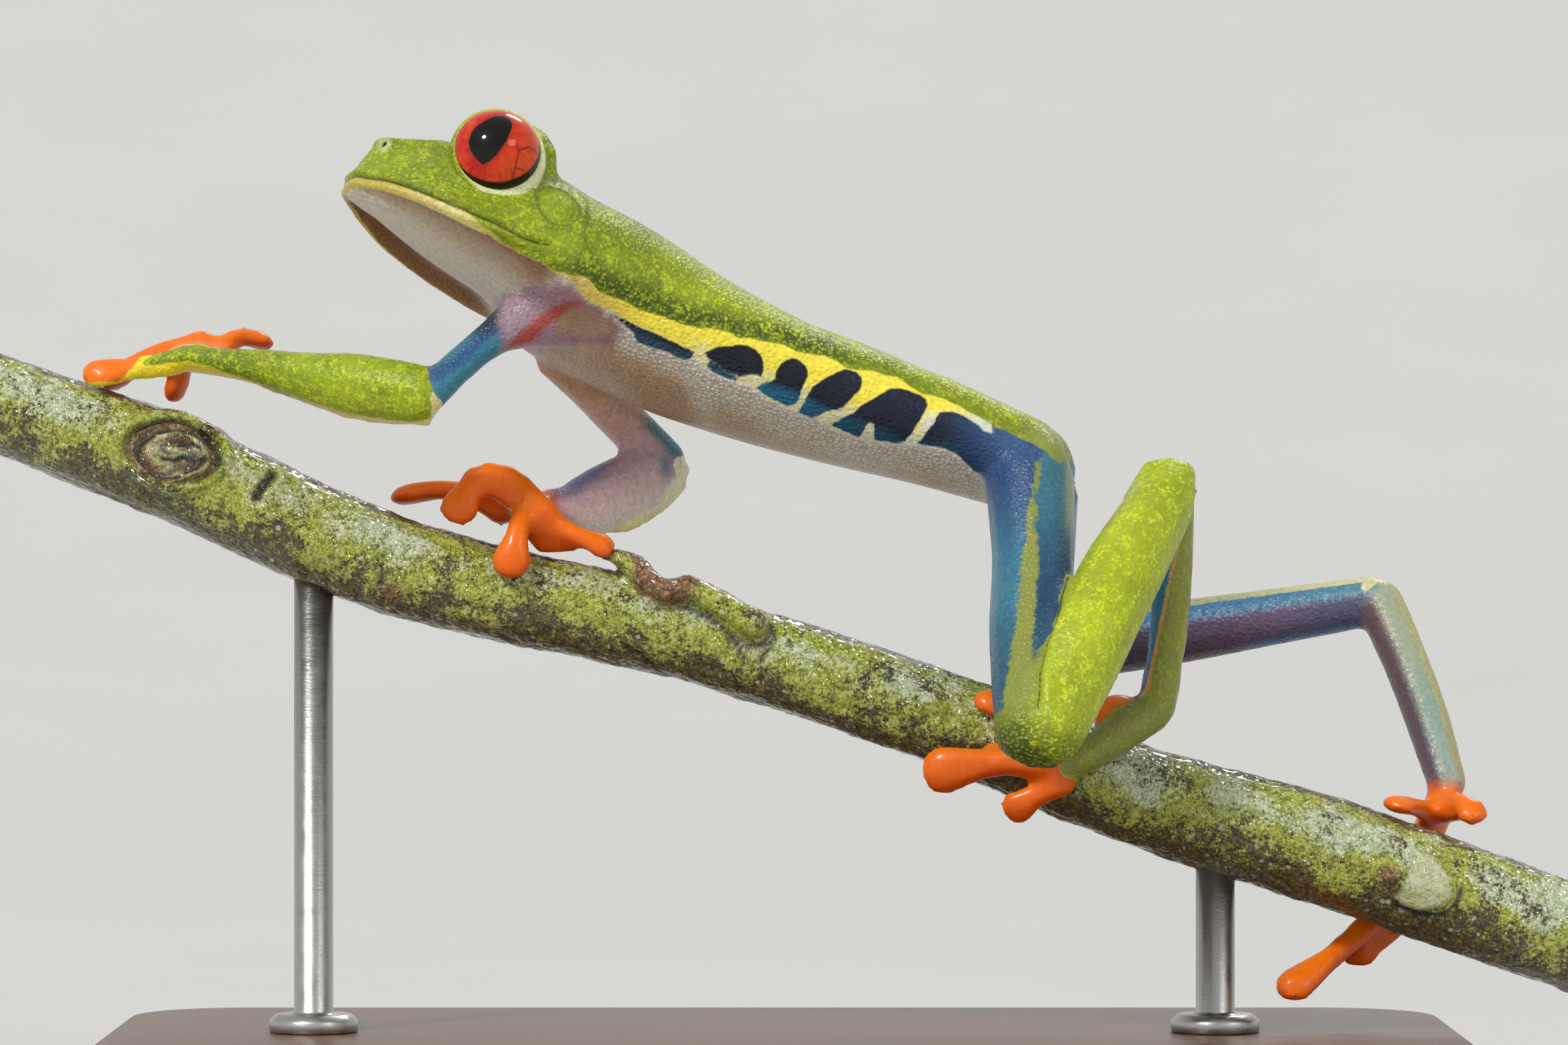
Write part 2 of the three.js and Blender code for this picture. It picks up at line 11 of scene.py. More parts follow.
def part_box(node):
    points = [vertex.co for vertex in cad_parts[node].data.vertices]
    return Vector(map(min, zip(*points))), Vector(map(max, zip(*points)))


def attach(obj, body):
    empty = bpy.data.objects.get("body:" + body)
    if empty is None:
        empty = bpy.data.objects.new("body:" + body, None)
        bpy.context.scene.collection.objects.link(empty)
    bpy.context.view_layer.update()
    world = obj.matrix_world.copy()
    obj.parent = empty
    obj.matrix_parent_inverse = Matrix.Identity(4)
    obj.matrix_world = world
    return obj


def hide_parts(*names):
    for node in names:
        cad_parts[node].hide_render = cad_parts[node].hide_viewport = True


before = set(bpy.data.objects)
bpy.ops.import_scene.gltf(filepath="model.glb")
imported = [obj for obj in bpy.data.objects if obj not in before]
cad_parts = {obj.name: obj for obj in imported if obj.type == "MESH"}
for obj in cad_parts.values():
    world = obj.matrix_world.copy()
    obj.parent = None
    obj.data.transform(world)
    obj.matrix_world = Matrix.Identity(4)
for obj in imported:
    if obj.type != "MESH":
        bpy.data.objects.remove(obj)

bl_info = {
    "name": "Tree frog on a branch",
    "version": (1, 0, 0),
    "blender": (4, 5, 0),
    "location": "View3D > Sidebar > Tree frog",
    "description": "Dresses the packed tree frog: moist skin, glossy eyes, mossy branch, wood and steel",
    "category": "Object",
}

MM = 0.001
VIEW_AWAY, VIEW_UP = 500, 45  # how far off and how high the camera stands
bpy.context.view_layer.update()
FLESH = sorted(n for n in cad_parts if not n.startswith(("eye_", "stand_", "perch")))

# ---------------------------------------------------------------- frames of the frog, in millimetres


def turn_about(axis, degrees):
    return np.array(Matrix.Rotation(math.radians(degrees), 3, axis))


def body_axes(pitch, yaw, roll):
    """Forward, left and up of a body that faces -X, as rows."""
    turn = turn_about("Z", yaw) @ turn_about("Y", pitch) @ turn_about("X", -roll)
    return np.array([turn @ (-1, 0, 0), turn @ (0, -1, 0), turn @ (0, 0, 1)])


SNOUT = np.array((-33.6, -4.2, 70.9))
HEAD = body_axes(pitch=30.5, yaw=6, roll=13)
TRUNK_ROLL = math.radians(14)
TRUNK_LEFT = np.array((0, -math.cos(TRUNK_ROLL), math.sin(TRUNK_ROLL)))


def on_head(back, out, up):
    """The place on the head that far back from the snout, out from its middle and up from the mouth."""
    return SNOUT - HEAD[0] * back + HEAD[1] * out + HEAD[2] * up


def head_places(at):
    """Back, out and up on the head for each point."""
    from_snout = at - SNOUT
    return -from_snout @ HEAD[0], from_snout @ HEAD[1], from_snout @ HEAD[2]


EYE_RADIUS = 3.46
EYE_BACK, EYE_OUT, EYE_UP = 9.0, 7.0, 5.8  # where its middle lies on the head
LID_OPEN = 1.25  # the lids end this far out of the middle of the eye
LID_TILT = math.acos(LID_OPEN / EYE_RADIUS)
LID_THIN = 0.13
LID_UNDER = 0.05  # the lid's edge reaches this far into the eye
LID_WAY = math.radians(215)  # the way to the thickest part of the lid: 0 forward, 90 degrees up


def eye_axes(side):
    """Gaze, forward and up of one eye, as rows, and its middle."""
    gaze = HEAD[1] * side + HEAD[0] * 0.12 + HEAD[2] * 0.1
    gaze = gaze / np.linalg.norm(gaze)
    up = HEAD[2] - gaze * (HEAD[2] @ gaze)
    up = up / np.linalg.norm(up)
    forward = HEAD[0] - gaze * (HEAD[0] @ gaze) - up * (HEAD[0] @ up)
    forward = forward / np.linalg.norm(forward)
    return np.array([gaze, forward, up]), on_head(EYE_BACK, side * EYE_OUT, EYE_UP)


# ---------------------------------------------------------------- meshes as arrays


def places(mesh):
    """Vertex places in millimetres."""
    flat = np.empty(len(mesh.vertices) * 3, np.float32)
    mesh.vertices.foreach_get("co", flat)
    return flat.reshape(-1, 3).astype(float) / MM


def set_places(mesh, at):
    mesh.vertices.foreach_set("co", (at * MM).astype(np.float32).ravel())
    mesh.update()


def normals(mesh):
    flat = np.empty(len(mesh.vertices) * 3, np.float32)
    mesh.vertex_normals.foreach_get("vector", flat)
    return flat.reshape(-1, 3).astype(float)


def edge_ends(mesh):
    flat = np.empty(len(mesh.edges) * 2, np.int32)
    mesh.edges.foreach_get("vertices", flat)
    return flat.reshape(-1, 2)


def spread(ends, values, rounds, share=0.5):
    """Values at the vertices, each moved towards the mean of its neighbours, several times."""
    count = len(values)
    a, b = ends[:, 0], ends[:, 1]
    degree = np.maximum(np.bincount(a, minlength=count) + np.bincount(b, minlength=count), 1)
    flat = values.reshape(count, -1).copy()
    share = np.broadcast_to(np.asarray(share, float), (count,))
    for _ in range(rounds):
        for column in range(flat.shape[1]):
            v = flat[:, column]
            mean = np.bincount(a, v[b], count) + np.bincount(b, v[a], count)
            flat[:, column] = v + share * (mean / degree - v)
    return flat.reshape(values.shape)


def even_out(ends, at, rounds, share):
    """Takes the facets off a shape and keeps its thickness: each step in is followed by a step out."""
    for _ in range(rounds):
        at = spread(ends, at, 1, share)
        at = spread(ends, at, 1, -share * 1.06)
    return at


def step(x, low, high):
    t = np.clip((x - low) / (high - low), 0, 1)
    return t * t * (3 - 2 * t)


def lumps(at, size, seed=0.0):
    """Smooth noise from -1 to 1 at each point, with lumps of about that size in millimetres."""
    shift = Vector((seed, seed * 1.7, -seed))
    return np.array([noise.noise(Vector(p / size) + shift) for p in at])


def set_layers(mesh, **layers):
    """Keeps numbers at the vertices, three to a layer, for the materials to read."""
    for name, columns in layers.items():
        layer = mesh.attributes.new(name, "FLOAT_VECTOR", "POINT")
        layer.data.foreach_set("vector", np.column_stack(columns).astype(np.float32).ravel())


def mesh_from(made, name):
    """Turns a bmesh into a mesh of that name."""
    mesh = bpy.data.meshes.new(name)
    made.to_mesh(mesh)
    made.free()
    return mesh


def new_object(name, mesh):
    made = bpy.data.objects.new(name, mesh)
    bpy.context.scene.collection.objects.link(made)
    return made


def finish_piece(piece, slot, *stands_for):
    piece.data.shade_smooth()
    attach(piece, "root")
    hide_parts(*stands_for)


def remeshed(piece, grid):
    """Melts all that a piece holds into one closed mesh with that grid, and gives it."""
    remesh = piece.modifiers.new("one surface", "REMESH")
    remesh.mode = "VOXEL"
    remesh.voxel_size = grid * MM
    seen = piece.evaluated_get(bpy.context.evaluated_depsgraph_get())
    mesh, old = bpy.data.meshes.new_from_object(seen), piece.data
    piece.modifiers.clear()
    piece.data = mesh
    bpy.data.meshes.remove(old)
    mesh.name = piece.name
    return mesh


def add_balls(made, spots, detail):
    """Adds balls to a bmesh: each spot is a place and a radius."""
    for *spot, radius in spots:
        bmesh.ops.create_icosphere(
            made, subdivisions=detail, radius=radius * MM, matrix=Matrix.Translation(Vector(spot) * MM)
        )


# ---------------------------------------------------------------- skin


def grown(node, by):
    """A merged copy of a CAD node's mesh with each face moved out."""
    made = bmesh.new()
    made.from_mesh(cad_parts[node].data)
    bmesh.ops.remove_doubles(made, verts=made.verts, dist=1e-6)
    made.normal_update()
    out = [v.normal * by * MM * min(v.calc_shell_factor(), 1.7) for v in made.verts]
    for v, move in zip(made.verts, out):
        v.co += move
    return mesh_from(made, node)


GROWN = 0.22  # the flesh is this much thicker while its parts are melted together
EYE_COVER = 0.2  # the skin first lies this far over the eyes
TOE_TUCK = Vector((0, 0.5, -1.2))  # moves the left foot's third toe behind its fourth
# Soft flesh between the fingers of the right hand, round the toes of the right foot, on the left hand's pad
# and at the left heel: place and radius.
PADS = (
    (-23.7, -1.2, 48.3, 1.1), (-22.5, -1.2, 48.7, 1.1), (-21.3, -1.2, 48.5, 1.15), (-20.3, -1.1, 47.7, 1.3),
    (-19.4, -1.6, 46.7, 1.4), (-18.5, -1.8, 45.8, 1.4), (-17.7, -1.5, 44.9, 1.3), (-18.9, -1.6, 44.6, 1.3),
    (-18.3, -1.0, 43.6, 1.15), (-17.2, -1.0, 43.5, 1.0), (-16.2, -1.2, 43.4, 0.8), (46.9, 0.2, 23.4, 0.85),
    (53, 0.5, 23.3, 0.75), (52.3, 1.1, 22.9, 0.85), (51.6, 1.9, 22.7, 0.95), (51, 3, 22.6, 1.0),
    (38.9, -0.6, 9.7, 1.15), (39.8, -0.2, 10.2, 0.95), (40.8, 0.4, 11, 0.8), (41.8, 1, 11.8, 0.8),
    (43, 1.8, 12.8, 0.85), (44.2, 2.6, 13.8, 0.9), (46.2, 4.3, 12.9, 0.9), (45.3, 4.1, 11.8, 0.8),
    (44.8, 4, 11.2, 0.75), (-52.55, -1.3, 56.35, 1.22), (-51.7, -1.3, 56.45, 1.22),
    (-50.9, -1.3, 56.6, 1.15), (28.1, -5.5, 48.5, 1.5), (29.1, -5.5, 48.55, 1.6), (29.8, -5.5, 48.35, 1.65),
    (27.5, -5.5, 47.5, 1.55), (26.95, -5.5, 46.45, 1.6), (26.05, -5.5, 44.2, 1.6),
)


def rough_skin(grid):
    """All flesh nodes as one closed mesh, with the eyes covered."""
    whole = bmesh.new()
    for node in FLESH:
        mesh = grown(node, GROWN)
        if node == "toe_left_3":
            mesh.transform(Matrix.Translation(TOE_TUCK * MM))
        whole.from_mesh(mesh)
        bpy.data.meshes.remove(mesh)
    add_balls(whole, [(*eye_axes(side)[1], EYE_RADIUS + EYE_COVER + GROWN) for side in (1, -1)], 4)
    add_balls(whole, PADS, 3)
    skin = new_object("skin", mesh_from(whole, "skin"))
    remeshed(skin, grid)
    return skin


def finer(mesh, here):
    """Cuts each face whose corners are all chosen into four."""
    made = bmesh.new()
    made.from_mesh(mesh)
    made.verts.ensure_lookup_table()
    faces = [f for f in made.faces if all(here[v.index] for v in f.verts)]
    edges = list({e for f in faces for e in f.edges})
    bmesh.ops.subdivide_edges(made, edges=edges, cuts=1, use_grid_fill=True)
    made.to_mesh(mesh)
    made.free()


def nearest_nodes(at):
    """For each point, the index in FLESH of the nearest node."""
    verts, faces, owner = [], [], []
    for i, node in enumerate(FLESH):
        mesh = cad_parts[node].data
        start = len(verts)
        verts.extend(v.co / MM for v in mesh.vertices)
        for face in mesh.polygons:
            faces.append([start + v for v in face.vertices])
            owner.append(i)
    tree = BVHTree.FromPolygons(verts, faces)
    owner = np.array(owner)
    return owner[[tree.find_nearest(Vector(p))[2] for p in at]]


def fit_lids(at, lid_below):
    """Lays the skin round each eye: thin in front and above, thick behind and below."""
    for side in (1, -1):
        axes, middle = eye_axes(side)
        local = (at - middle) @ axes.T
        reach = np.linalg.norm(local, axis=1)
        tilt = np.arccos(np.clip(local[:, 0] / np.maximum(reach, 1e-6), -1, 1))
        around = np.arctan2(local[:, 2], local[:, 1])  # 0 forward, 90 degrees up
        behind = np.cos(around - LID_WAY) * 0.5 + 0.5
        thick = LID_THIN + (lid_below - LID_THIN) * behind ** 3
        edge = LID_TILT + thick / EYE_RADIUS
        lid = EYE_RADIUS + thick
        made = np.maximum(lid + (reach - lid) * step(reach, 3.9, 4.9), lid)
        rounding = np.sqrt(np.clip(1 - ((edge - tilt) / (edge - LID_TILT)) ** 2, 0, 1))
        under = EYE_RADIUS - LID_UNDER
        sunk = np.where(tilt < edge, under + (thick + LID_UNDER) * rounding, made)
        sunk = np.where(tilt < LID_TILT, under - 0.6 * step(LID_TILT - tilt, 0, 0.15), sunk)
        made = made + (sunk - made) * step(reach, 5.0, 4.3)
        near = (reach < 6.5) & (tilt < 2.1)
        scale = np.where(near, made / np.maximum(reach, 1e-6), 1)
        at = middle + (local * scale[:, None]) @ axes
    return at


# ---------------------------------------------------------------- markings

# Lines of the left side, in millimetres as the camera sees them: (along, up).
BACK_EDGE = (
    (-22, 67.3), (-18.9, 65.1), (-17.6, 64.3), (-16.4, 64), (-15, 63.7), (-14.6, 63.15), (-14, 62.6),
    (-13.1, 62.25), (-12.1, 61.9), (-11.1, 61.3), (-10.1, 61), (-9, 60.6), (-8.1, 60.3), (-7.3, 60.05),
    (-6.5, 59.9), (-5.7, 59.9), (-4.9, 59.7), (-4.2, 59.6), (-3.6, 59.15), (-2.7, 59.15), (-1.9, 58.95),
    (-1.1, 58.75), (-0.4, 58.65), (0.3, 58.5), (1, 58.05), (2, 57.9), (3, 57.75), (3.7, 57.55),
    (4.2, 57.25), (4.8, 56.85), (5.3, 56.73), (6.2, 56.67), (7.1, 56.5), (8, 56.2), (8.7, 56.1),
    (9.2, 55.8), (9.5, 55.45), (10.1, 55.15), (10.8, 54.8), (11.5, 54.7), (12.3, 54.45), (12.8, 54.1),
    (13.4, 53.85), (13.9, 53.55), (14.8, 53.1), (15.6, 52.7), (16.1, 52.3), (17.1, 51.9), (17.9, 51.5),
    (18.8, 51.2), (19.6, 50.7), (21, 49.6),
)
FLANK_EDGE = (
    (-22, 66.6), (-18.8, 65), (-17.65, 64.2), (-16.6, 63.6), (-16, 63.2), (-15.6, 62.5), (-15.1, 62),
    (-13.8, 61.4), (-12.8, 61), (-12.1, 60.5), (-10.9, 59.9), (-9.9, 59.55), (-8.9, 59), (-7.8, 58.5),
    (-7, 58.1), (-6.6, 57.2), (-4.9, 56.3), (-3.6, 55.75), (-2.4, 55.4), (-1.15, 54.4), (0.2, 53.8),
    (1, 53.4), (2.4, 53), (3.4, 52.45), (4.6, 51.9), (5.7, 51.5), (6.65, 51.25), (7.35, 51.05), (8.7, 51.1),
    (9.7, 50.9), (10.8, 50.9), (12, 50.75), (12.7, 50.5), (13.3, 50.2), (13.95, 49.6), (14.5, 49),
    (15.1, 48.45), (15.6, 47.6), (16, 46),
)
FLANK_FOLD = (
    (-12, 60.2), (-8, 58.4), (-6.2, 57.9), (-5.3, 57.25), (-3.3, 56.35), (-2.4, 56.4), (-1.15, 55.8),
    (0, 55.45), (1.3, 55), (2.5, 54.3), (4.3, 53.55), (5.5, 53.15), (7.2, 52.5), (8.5, 51.9), (9.4, 51.35),
)
BLOTS = (
    ((-13.7, 61.35), (-12.1, 60.5), (-10.9, 59.85), (-9.9, 59.5), (-8.9, 59), (-7.8, 58.5), (-6.85, 58.05),
     (-7, 57.65), (-7.4, 57.4), (-8, 57.55), (-9, 58.1), (-10.2, 58.45), (-11.2, 58.8), (-11.5, 59.5),
     (-12.4, 60.3)),
    ((-6.2, 57.93), (-5.5, 58.3), (-5, 58.5), (-4.3, 58.47), (-3.7, 58.6), (-3, 58.6), (-2.25, 58.3),
     (-1.8, 57.9), (-1.58, 57.3), (-1.58, 56.7), (-1.7, 56.15), (-2.3, 56.35), (-2.8, 56.3), (-3.4, 56.1),
     (-4.5, 56.7), (-5.4, 57.3)),
    ((-5.9, 57.4), (-4.9, 56.95), (-4, 56.4), (-3.5, 56), (-3.7, 55.8), (-4.5, 56.1), (-5.4, 56.5),
     (-5.9, 56.9)),
    ((-0.7, 55.8), (-0.6, 56.6), (-0.3, 57.1), (0.2, 57.5), (0.7, 57.6), (1.15, 57.45), (1.65, 57),
     (1.88, 56.4), (1.75, 56), (1.45, 55.5), (1.28, 55), (1.15, 54.4), (0.8, 54), (0.2, 53.9),
     (-0.55, 54.3), (-1.3, 54.65), (-2.25, 55.4), (-1.15, 55.8)),
    ((1.05, 53.45), (1.5, 54.1), (1.8, 54.7), (2.1, 55.25), (2.7, 55.75), (3.5, 56.25), (4.1, 56.5),
     (4.6, 56.75), (5.05, 56.7), (5.6, 56.5), (5.93, 56.15), (6, 55.75), (5.84, 55.2), (5.4, 54.7),
     (4.8, 54.1), (4.33, 53.62), (3.75, 53.65), (3.2, 53.5), (2.75, 53.25), (2.3, 52.95), (1.6, 53.2)),
    ((3.5, 52.5), (4.1, 52.8), (4.9, 53.25), (5.4, 53.4), (5.7, 53.8), (6.3, 54.2), (6.9, 54.5),
     (7.5, 54.9), (8, 55.2), (8.7, 55.3), (9.4, 55.15), (10.4, 54.8), (10.8, 54.5), (11.05, 54),
     (10.8, 53.55), (10.5, 53), (10, 52.15), (9.7, 51.7), (9.3, 51.35), (9.2, 51.1), (8.5, 51.05),
     (7.9, 51.2), (6.9, 51.3), (6.9, 52), (6.85, 52.65), (6.4, 52.6), (6.2, 52.3), (5.84, 51.45),
     (4.6, 52)),
    ((10.1, 51), (10.6, 51.45), (10.95, 52.05), (11.45, 52.5), (11.65, 53), (11.9, 53.45), (12.9, 53.5),
     (13.6, 53.25), (14.3, 52.85), (14.9, 52.4), (15.3, 52), (15.9, 51.8), (16.9, 51.6), (17.7, 51.35),
     (18.5, 51.1), (22, 50.4), (24, 40), (15, 40), (15.6, 47.6), (15.1, 48.45), (14.5, 49), (13.9, 49.6),
     (13.3, 50.2), (12.7, 50.5), (12, 50.75)),
)
# On the head: back from the snout, up from the plane of the mouth.
MOUTH_LINE = (
    (-2, 0.15), (5.4, 0.15), (7.4, 0.19), (9.4, 0.29), (11.5, 0.48), (13.8, 0.56), (14.8, 0.8),
    (15.8, 1.25),
)
LIP_EDGE = (
    (-2, -0.6), (2.8, -0.52), (3.8, -0.54), (5, -0.68), (7, -0.73), (9.1, -0.6), (10, -0.52), (11, -0.41),
    (12.1, -0.36), (12.8, -0.44), (14.2, -0.44), (15.6, -0.28), (17, -0.22),
)
HEAD_GREEN = (
    (-2, 0.15), (5.4, 0.15), (9, 0.27), (10.4, 0.05), (11.7, -0.12), (12.7, -0.3), (14.1, -0.36),
    (15.5, -0.2), (17, -0.14),
)
# Down the near thigh: height, middle and half width of its olive stripe.
THIGH_STRIPE = (
    (26, 18.6, 2.6), (29, 18.3, 1.9), (31, 18.0, 1.35), (33, 18.0, 1.1), (36, 18.3, 0.9), (38, 18.5, 0.8),
    (41, 18.8, 0.75), (43, 18.9, 0.6), (45, 18.95, 0.45), (47, 19.1, 0.33), (49.6, 19.5, 0.22),
    (51.5, 20.2, -0.3),
)
FAR_FRINGE = ((-14.5, 43.5), (-13.6, 43.85), (-9.7, 45.6), (-8, 47.6), (-7.2, 49.3))
FAR_WRIST = ((42, -15.5), (44.35, -16.5), (47.1, -17.65), (49, -18.4))  # up, along
THIGH_FOLD = ((30.6, 19.5), (31.1, 19.4), (33.6, 19.4), (35.8, 19.9), (38.4, 20.9), (41.2, 21.9))  # up, along
FOREARM_EDGE = (
    (-53, 55.3), (-50, 55.6), (-48, 56.1), (-45.6, 56.7), (-44, 56.4), (-42.5, 55.9), (-41.2, 55.5),
    (-40, 55), (-39, 54.5), (-37, 53.9), (-35.1, 53.4), (-32.9, 52.7), (-30, 52.3), (-28.4, 52.1),
    (-26, 52.6),
)

# How wide the fringe below the near forearm is: along, width.
FOREARM_RIM = ((-50, 1.4), (-48, 0.95), (-46, 0.7), (-44, 0.55), (-42, 0.48), (-36, 0.45), (-28, 0.55))
TARSUS_LINE = ((30.8, 27.5), (45.3, 30.5))  # up, along
ELBOW_LINE = ((-28, 55.6), (-26, 56.3), (-24, 57.8), (-22, 60), (-20, 61))


def colour(text):
    """An sRGB hex colour as linear red, green and blue."""
    parts = np.array([int(text[i:i + 2], 16) / 255 for i in (0, 2, 4)])
    return np.where(parts <= 0.04045, parts / 12.92, ((parts + 0.055) / 1.055) ** 2.4)


def shade(amount, *texts):
    """Colours from the first hex to the last as the amount goes from 0 to 1."""
    stops = np.array([colour(t) for t in texts])
    at = np.linspace(0, 1, len(texts))
    return np.stack([np.interp(amount, at, stops[:, i]) for i in range(3)], 1)


def mixed(a, b, amount):
    return a + (b - a) * np.clip(amount, 0, 1)[:, None]


def follow(x, line):
    """The height of a line at each x."""
    return np.interp(x, *np.array(line).T)


def above(x, z, line):
    """How far each point lies above a line, square to it."""
    line = np.array(line)
    slope = np.interp(x, line[:, 0], np.gradient(line[:, 1], line[:, 0]))
    slope = np.clip(slope, -1.2, 1.2)
    return (z - np.interp(x, line[:, 0], line[:, 1])) / np.sqrt(1 + slope ** 2)


def from_line(x, z, a, b):
    """How far each point lies from the line between two places."""
    dx, dz = b[0] - a[0], b[1] - a[1]
    t = np.clip(((x - a[0]) * dx + (z - a[1]) * dz) / (dx * dx + dz * dz), 0, 1)
    return np.hypot(x - a[0] - t * dx, z - a[1] - t * dz)


def inside(x, z, outline):
    """How far each point lies inside a closed outline; outside is below 0."""
    sides = [(a, b) for a, b in zip(outline, (*outline[1:], outline[0]))]
    odd = np.zeros(len(x), bool)
    for (x0, z0), (x1, z1) in sides:
        if z0 != z1:
            odd ^= ((z0 > z) != (z1 > z)) & (x < (x1 - x0) * (z - z0) / (z1 - z0) + x0)
    best = np.minimum.reduce([from_line(x, z, a, b) for a, b in sides])
    return np.where(odd, best, -best)


def side_view(at):
    """Along and up of each point as the camera sees it."""
    nearer = 1 + at[:, 1] / VIEW_AWAY
    return at[:, 0] / nearer, VIEW_UP + (at[:, 2] - VIEW_UP) / nearer


BODY_LINE = np.array((
    on_head(0, 0, 1), on_head(5, 0, 1), on_head(18, 0, 1), (-12.6, -0.6, 61), (-7.6, 0.3, 58.9),
    (-1.2, 0.8, 56.3), (5.2, 1, 53.8), (11.8, 1, 51.3), (17.4, 1, 49.3), (22, 1, 47.5),
))


def on_left(at):
    """Each point of the trunk, or its twin on the left side."""
    best = np.full(len(at), 1e9)
    off = np.zeros(len(at))
    left = np.zeros_like(at)
    for i, (a, b) in enumerate(zip(BODY_LINE, BODY_LINE[1:])):
        t = np.clip((at - a) @ (b - a) / ((b - a) @ (b - a)), 0, 1)
        middle = a + t[:, None] * (b - a)
        far = np.linalg.norm(at - middle, axis=1)
        share = 0 if i < 2 else 1 if i > 3 else None
        lean = t * 0.5 + (i - 2) * 0.5 if share is None else np.full(len(at), float(share))
        way = HEAD[1] + lean[:, None] * (TRUNK_LEFT - HEAD[1])
        way /= np.linalg.norm(way, axis=1)[:, None]
        nearer = far < best
        best = np.where(nearer, far, best)
        off = np.where(nearer, ((at - middle) * way).sum(1), off)
        left = np.where(nearer[:, None], way, left)
    return at - 2 * np.minimum(off, 0)[:, None] * left


JAW_HALF = ((-1, 0.3), (0, 1.6), (1, 3.1), (3, 5.9), (6, 7.9), (9, 9.0), (12, 9.5), (16, 9.9), (20, 10))
EAR = on_head(14.85, 8.7, 4.4)
EAR_RADIUS, EAR_DEPTH = 1.72, 2.5
NOSTRIL = (1.45, 2.85, 3.3)
NECK_FOLD = ((62, -17), (63.9, -16.1), (65.8, -15.5), (69.3, -15.1), (71.7, -16), (73.5, -17.4))


def ear_gap(twin):
    """How far each point lies outside the rim of the ear."""
    way = HEAD[1] + HEAD[2] * 0.42
    way = way / np.linalg.norm(way)
    gap = twin - EAR
    depth = gap @ way
    rim = np.linalg.norm(gap - depth[:, None] * way, axis=1) - EAR_RADIUS
    return np.where(np.abs(depth) < EAR_DEPTH, rim, 5)


def lid_gap(at):
    """How far each point lies outside the opening of the nearer eye, and where round it and how far from it.

    The way round is 0 degrees forward and 90 up.
    """
    gap, around, reach = np.full(len(at), 9.0), np.zeros(len(at)), np.full(len(at), 99.0)
    for side in (1, -1):
        axes, middle = eye_axes(side)
        local = (at - middle) @ axes.T
        far = np.linalg.norm(local, axis=1)
        tilt = np.arccos(np.clip(local[:, 0] / np.maximum(far, 1e-6), -1, 1))
        here = (far < reach) & (far < 7)
        off_edge = (tilt - LID_TILT) * EYE_RADIUS
        gap = np.where(here, off_edge + 1.5 * np.maximum(far - EYE_RADIUS - 0.6, 0), gap)
        around = np.where(here, np.degrees(np.arctan2(local[:, 2], local[:, 1])), around)
        reach = np.where(here, far, reach)
    return gap, around, reach


def bump(x, middle, width):
    return np.exp(-((x - middle) / width) ** 2)


def carve_head(at, out):
    """Works mouth, lips, throat, nostrils, ears and folds into the skin of the head."""
    back, off, up = head_places(at)
    head = (back > -1.5) & (back < 22) & (np.abs(off) < 12) & (up > -9) & (up < 12)
    use = np.nonzero(head)[0]
    at, out, back, off, up = at[use], out[use], back[use], off[use], up[use]
    twin = np.where(off[:, None] < 0, at - 2 * np.minimum(off, 0)[:, None] * HEAD[1], at)
    x, z = side_view(twin)
    move = np.zeros_like(at)
    # Mouth line and the soft roll of the lips.
    gap = up - follow(back, MOUTH_LINE)
    side = step(np.abs(out @ HEAD[2]), 0.95, 0.7) * (1 - step(back, 15.0, 16.2))
    swell = -0.3 * bump(gap, 0, 0.15) + 0.12 * bump(gap, 0.42, 0.3) + 0.1 * bump(gap, -0.4, 0.25)
    move += out * (swell * side)[:, None]
    # Throat: sunk behind both lips, with a soft sack between.
    half = follow(back, JAW_HALF)
    across = (off + half) / (2 * half)
    under = step(-(out @ HEAD[2]), 0.3, 0.75) * step(-up, 0.35, 0.8)
    under = under * step(back, 0.4, 2.2) * step(back, 17.5, 12.5)
    lift = 0.55 * step(across, 0.965, 0.92) * step(across, 0.72, 0.86)
    lift += 1.25 * step(across, 0.035, 0.13) * step(across, 0.5, 0.22)
    lift = lift * np.minimum(half / 7, 1)
    move += HEAD[2] * (lift * under)[:, None]
    # Nostrils.
    gap = np.linalg.norm(twin - on_head(*NOSTRIL), axis=1)
    move += out * (0.3 * bump(gap, 0, 0.62) - 0.6 * bump(gap, 0, 0.2))[:, None]
    # Ears.
    ear = ear_gap(twin)
    swell = 0.1 * bump(ear, 0.12, 0.22) - 0.12 * bump(ear, -0.28, 0.2) + 0.1 * step(-ear, 0.3, 1.4)
    move += out * swell[:, None]
    # Folds under the eye and behind the ear.
    gap, around, reach = lid_gap(at)
    low = np.cos(np.radians(around + 110)) * 0.5 + 0.5
    ring = np.sin((reach - 3.9) * 2 * math.pi / 0.62) * step(reach, 4.0, 4.3) * step(reach, 6.2, 5.2)
    move += out * (0.07 * ring * step(low, 0.35, 0.8))[:, None]
    fold = (x - follow(z, NECK_FOLD)) * step(z, 61.5, 63) * 1.0
    inside_fold = step(z, 62, 63.5) * step(z, 73.5, 72) * (out @ HEAD[2] < 0.85)
    move += out * ((0.16 * bump(fold, -0.15, 0.3) - 0.14 * bump(fold, 0.35, 0.25)) * inside_fold)[:, None]
    whole = np.zeros((len(head), 3))
    whole[use] = move
    return whole


# How wide the pale lid is, by the way round the eye: 0 forward, 90 degrees up.
PALE_LID = (
    (0, 0.0), (60, 0.2), (90, 0.32), (130, 0.55), (170, 0.8), (205, 0.95), (232, 0.62), (256, 0.26),
    (285, 0.0), (330, -0.1), (360, 0.0),
)


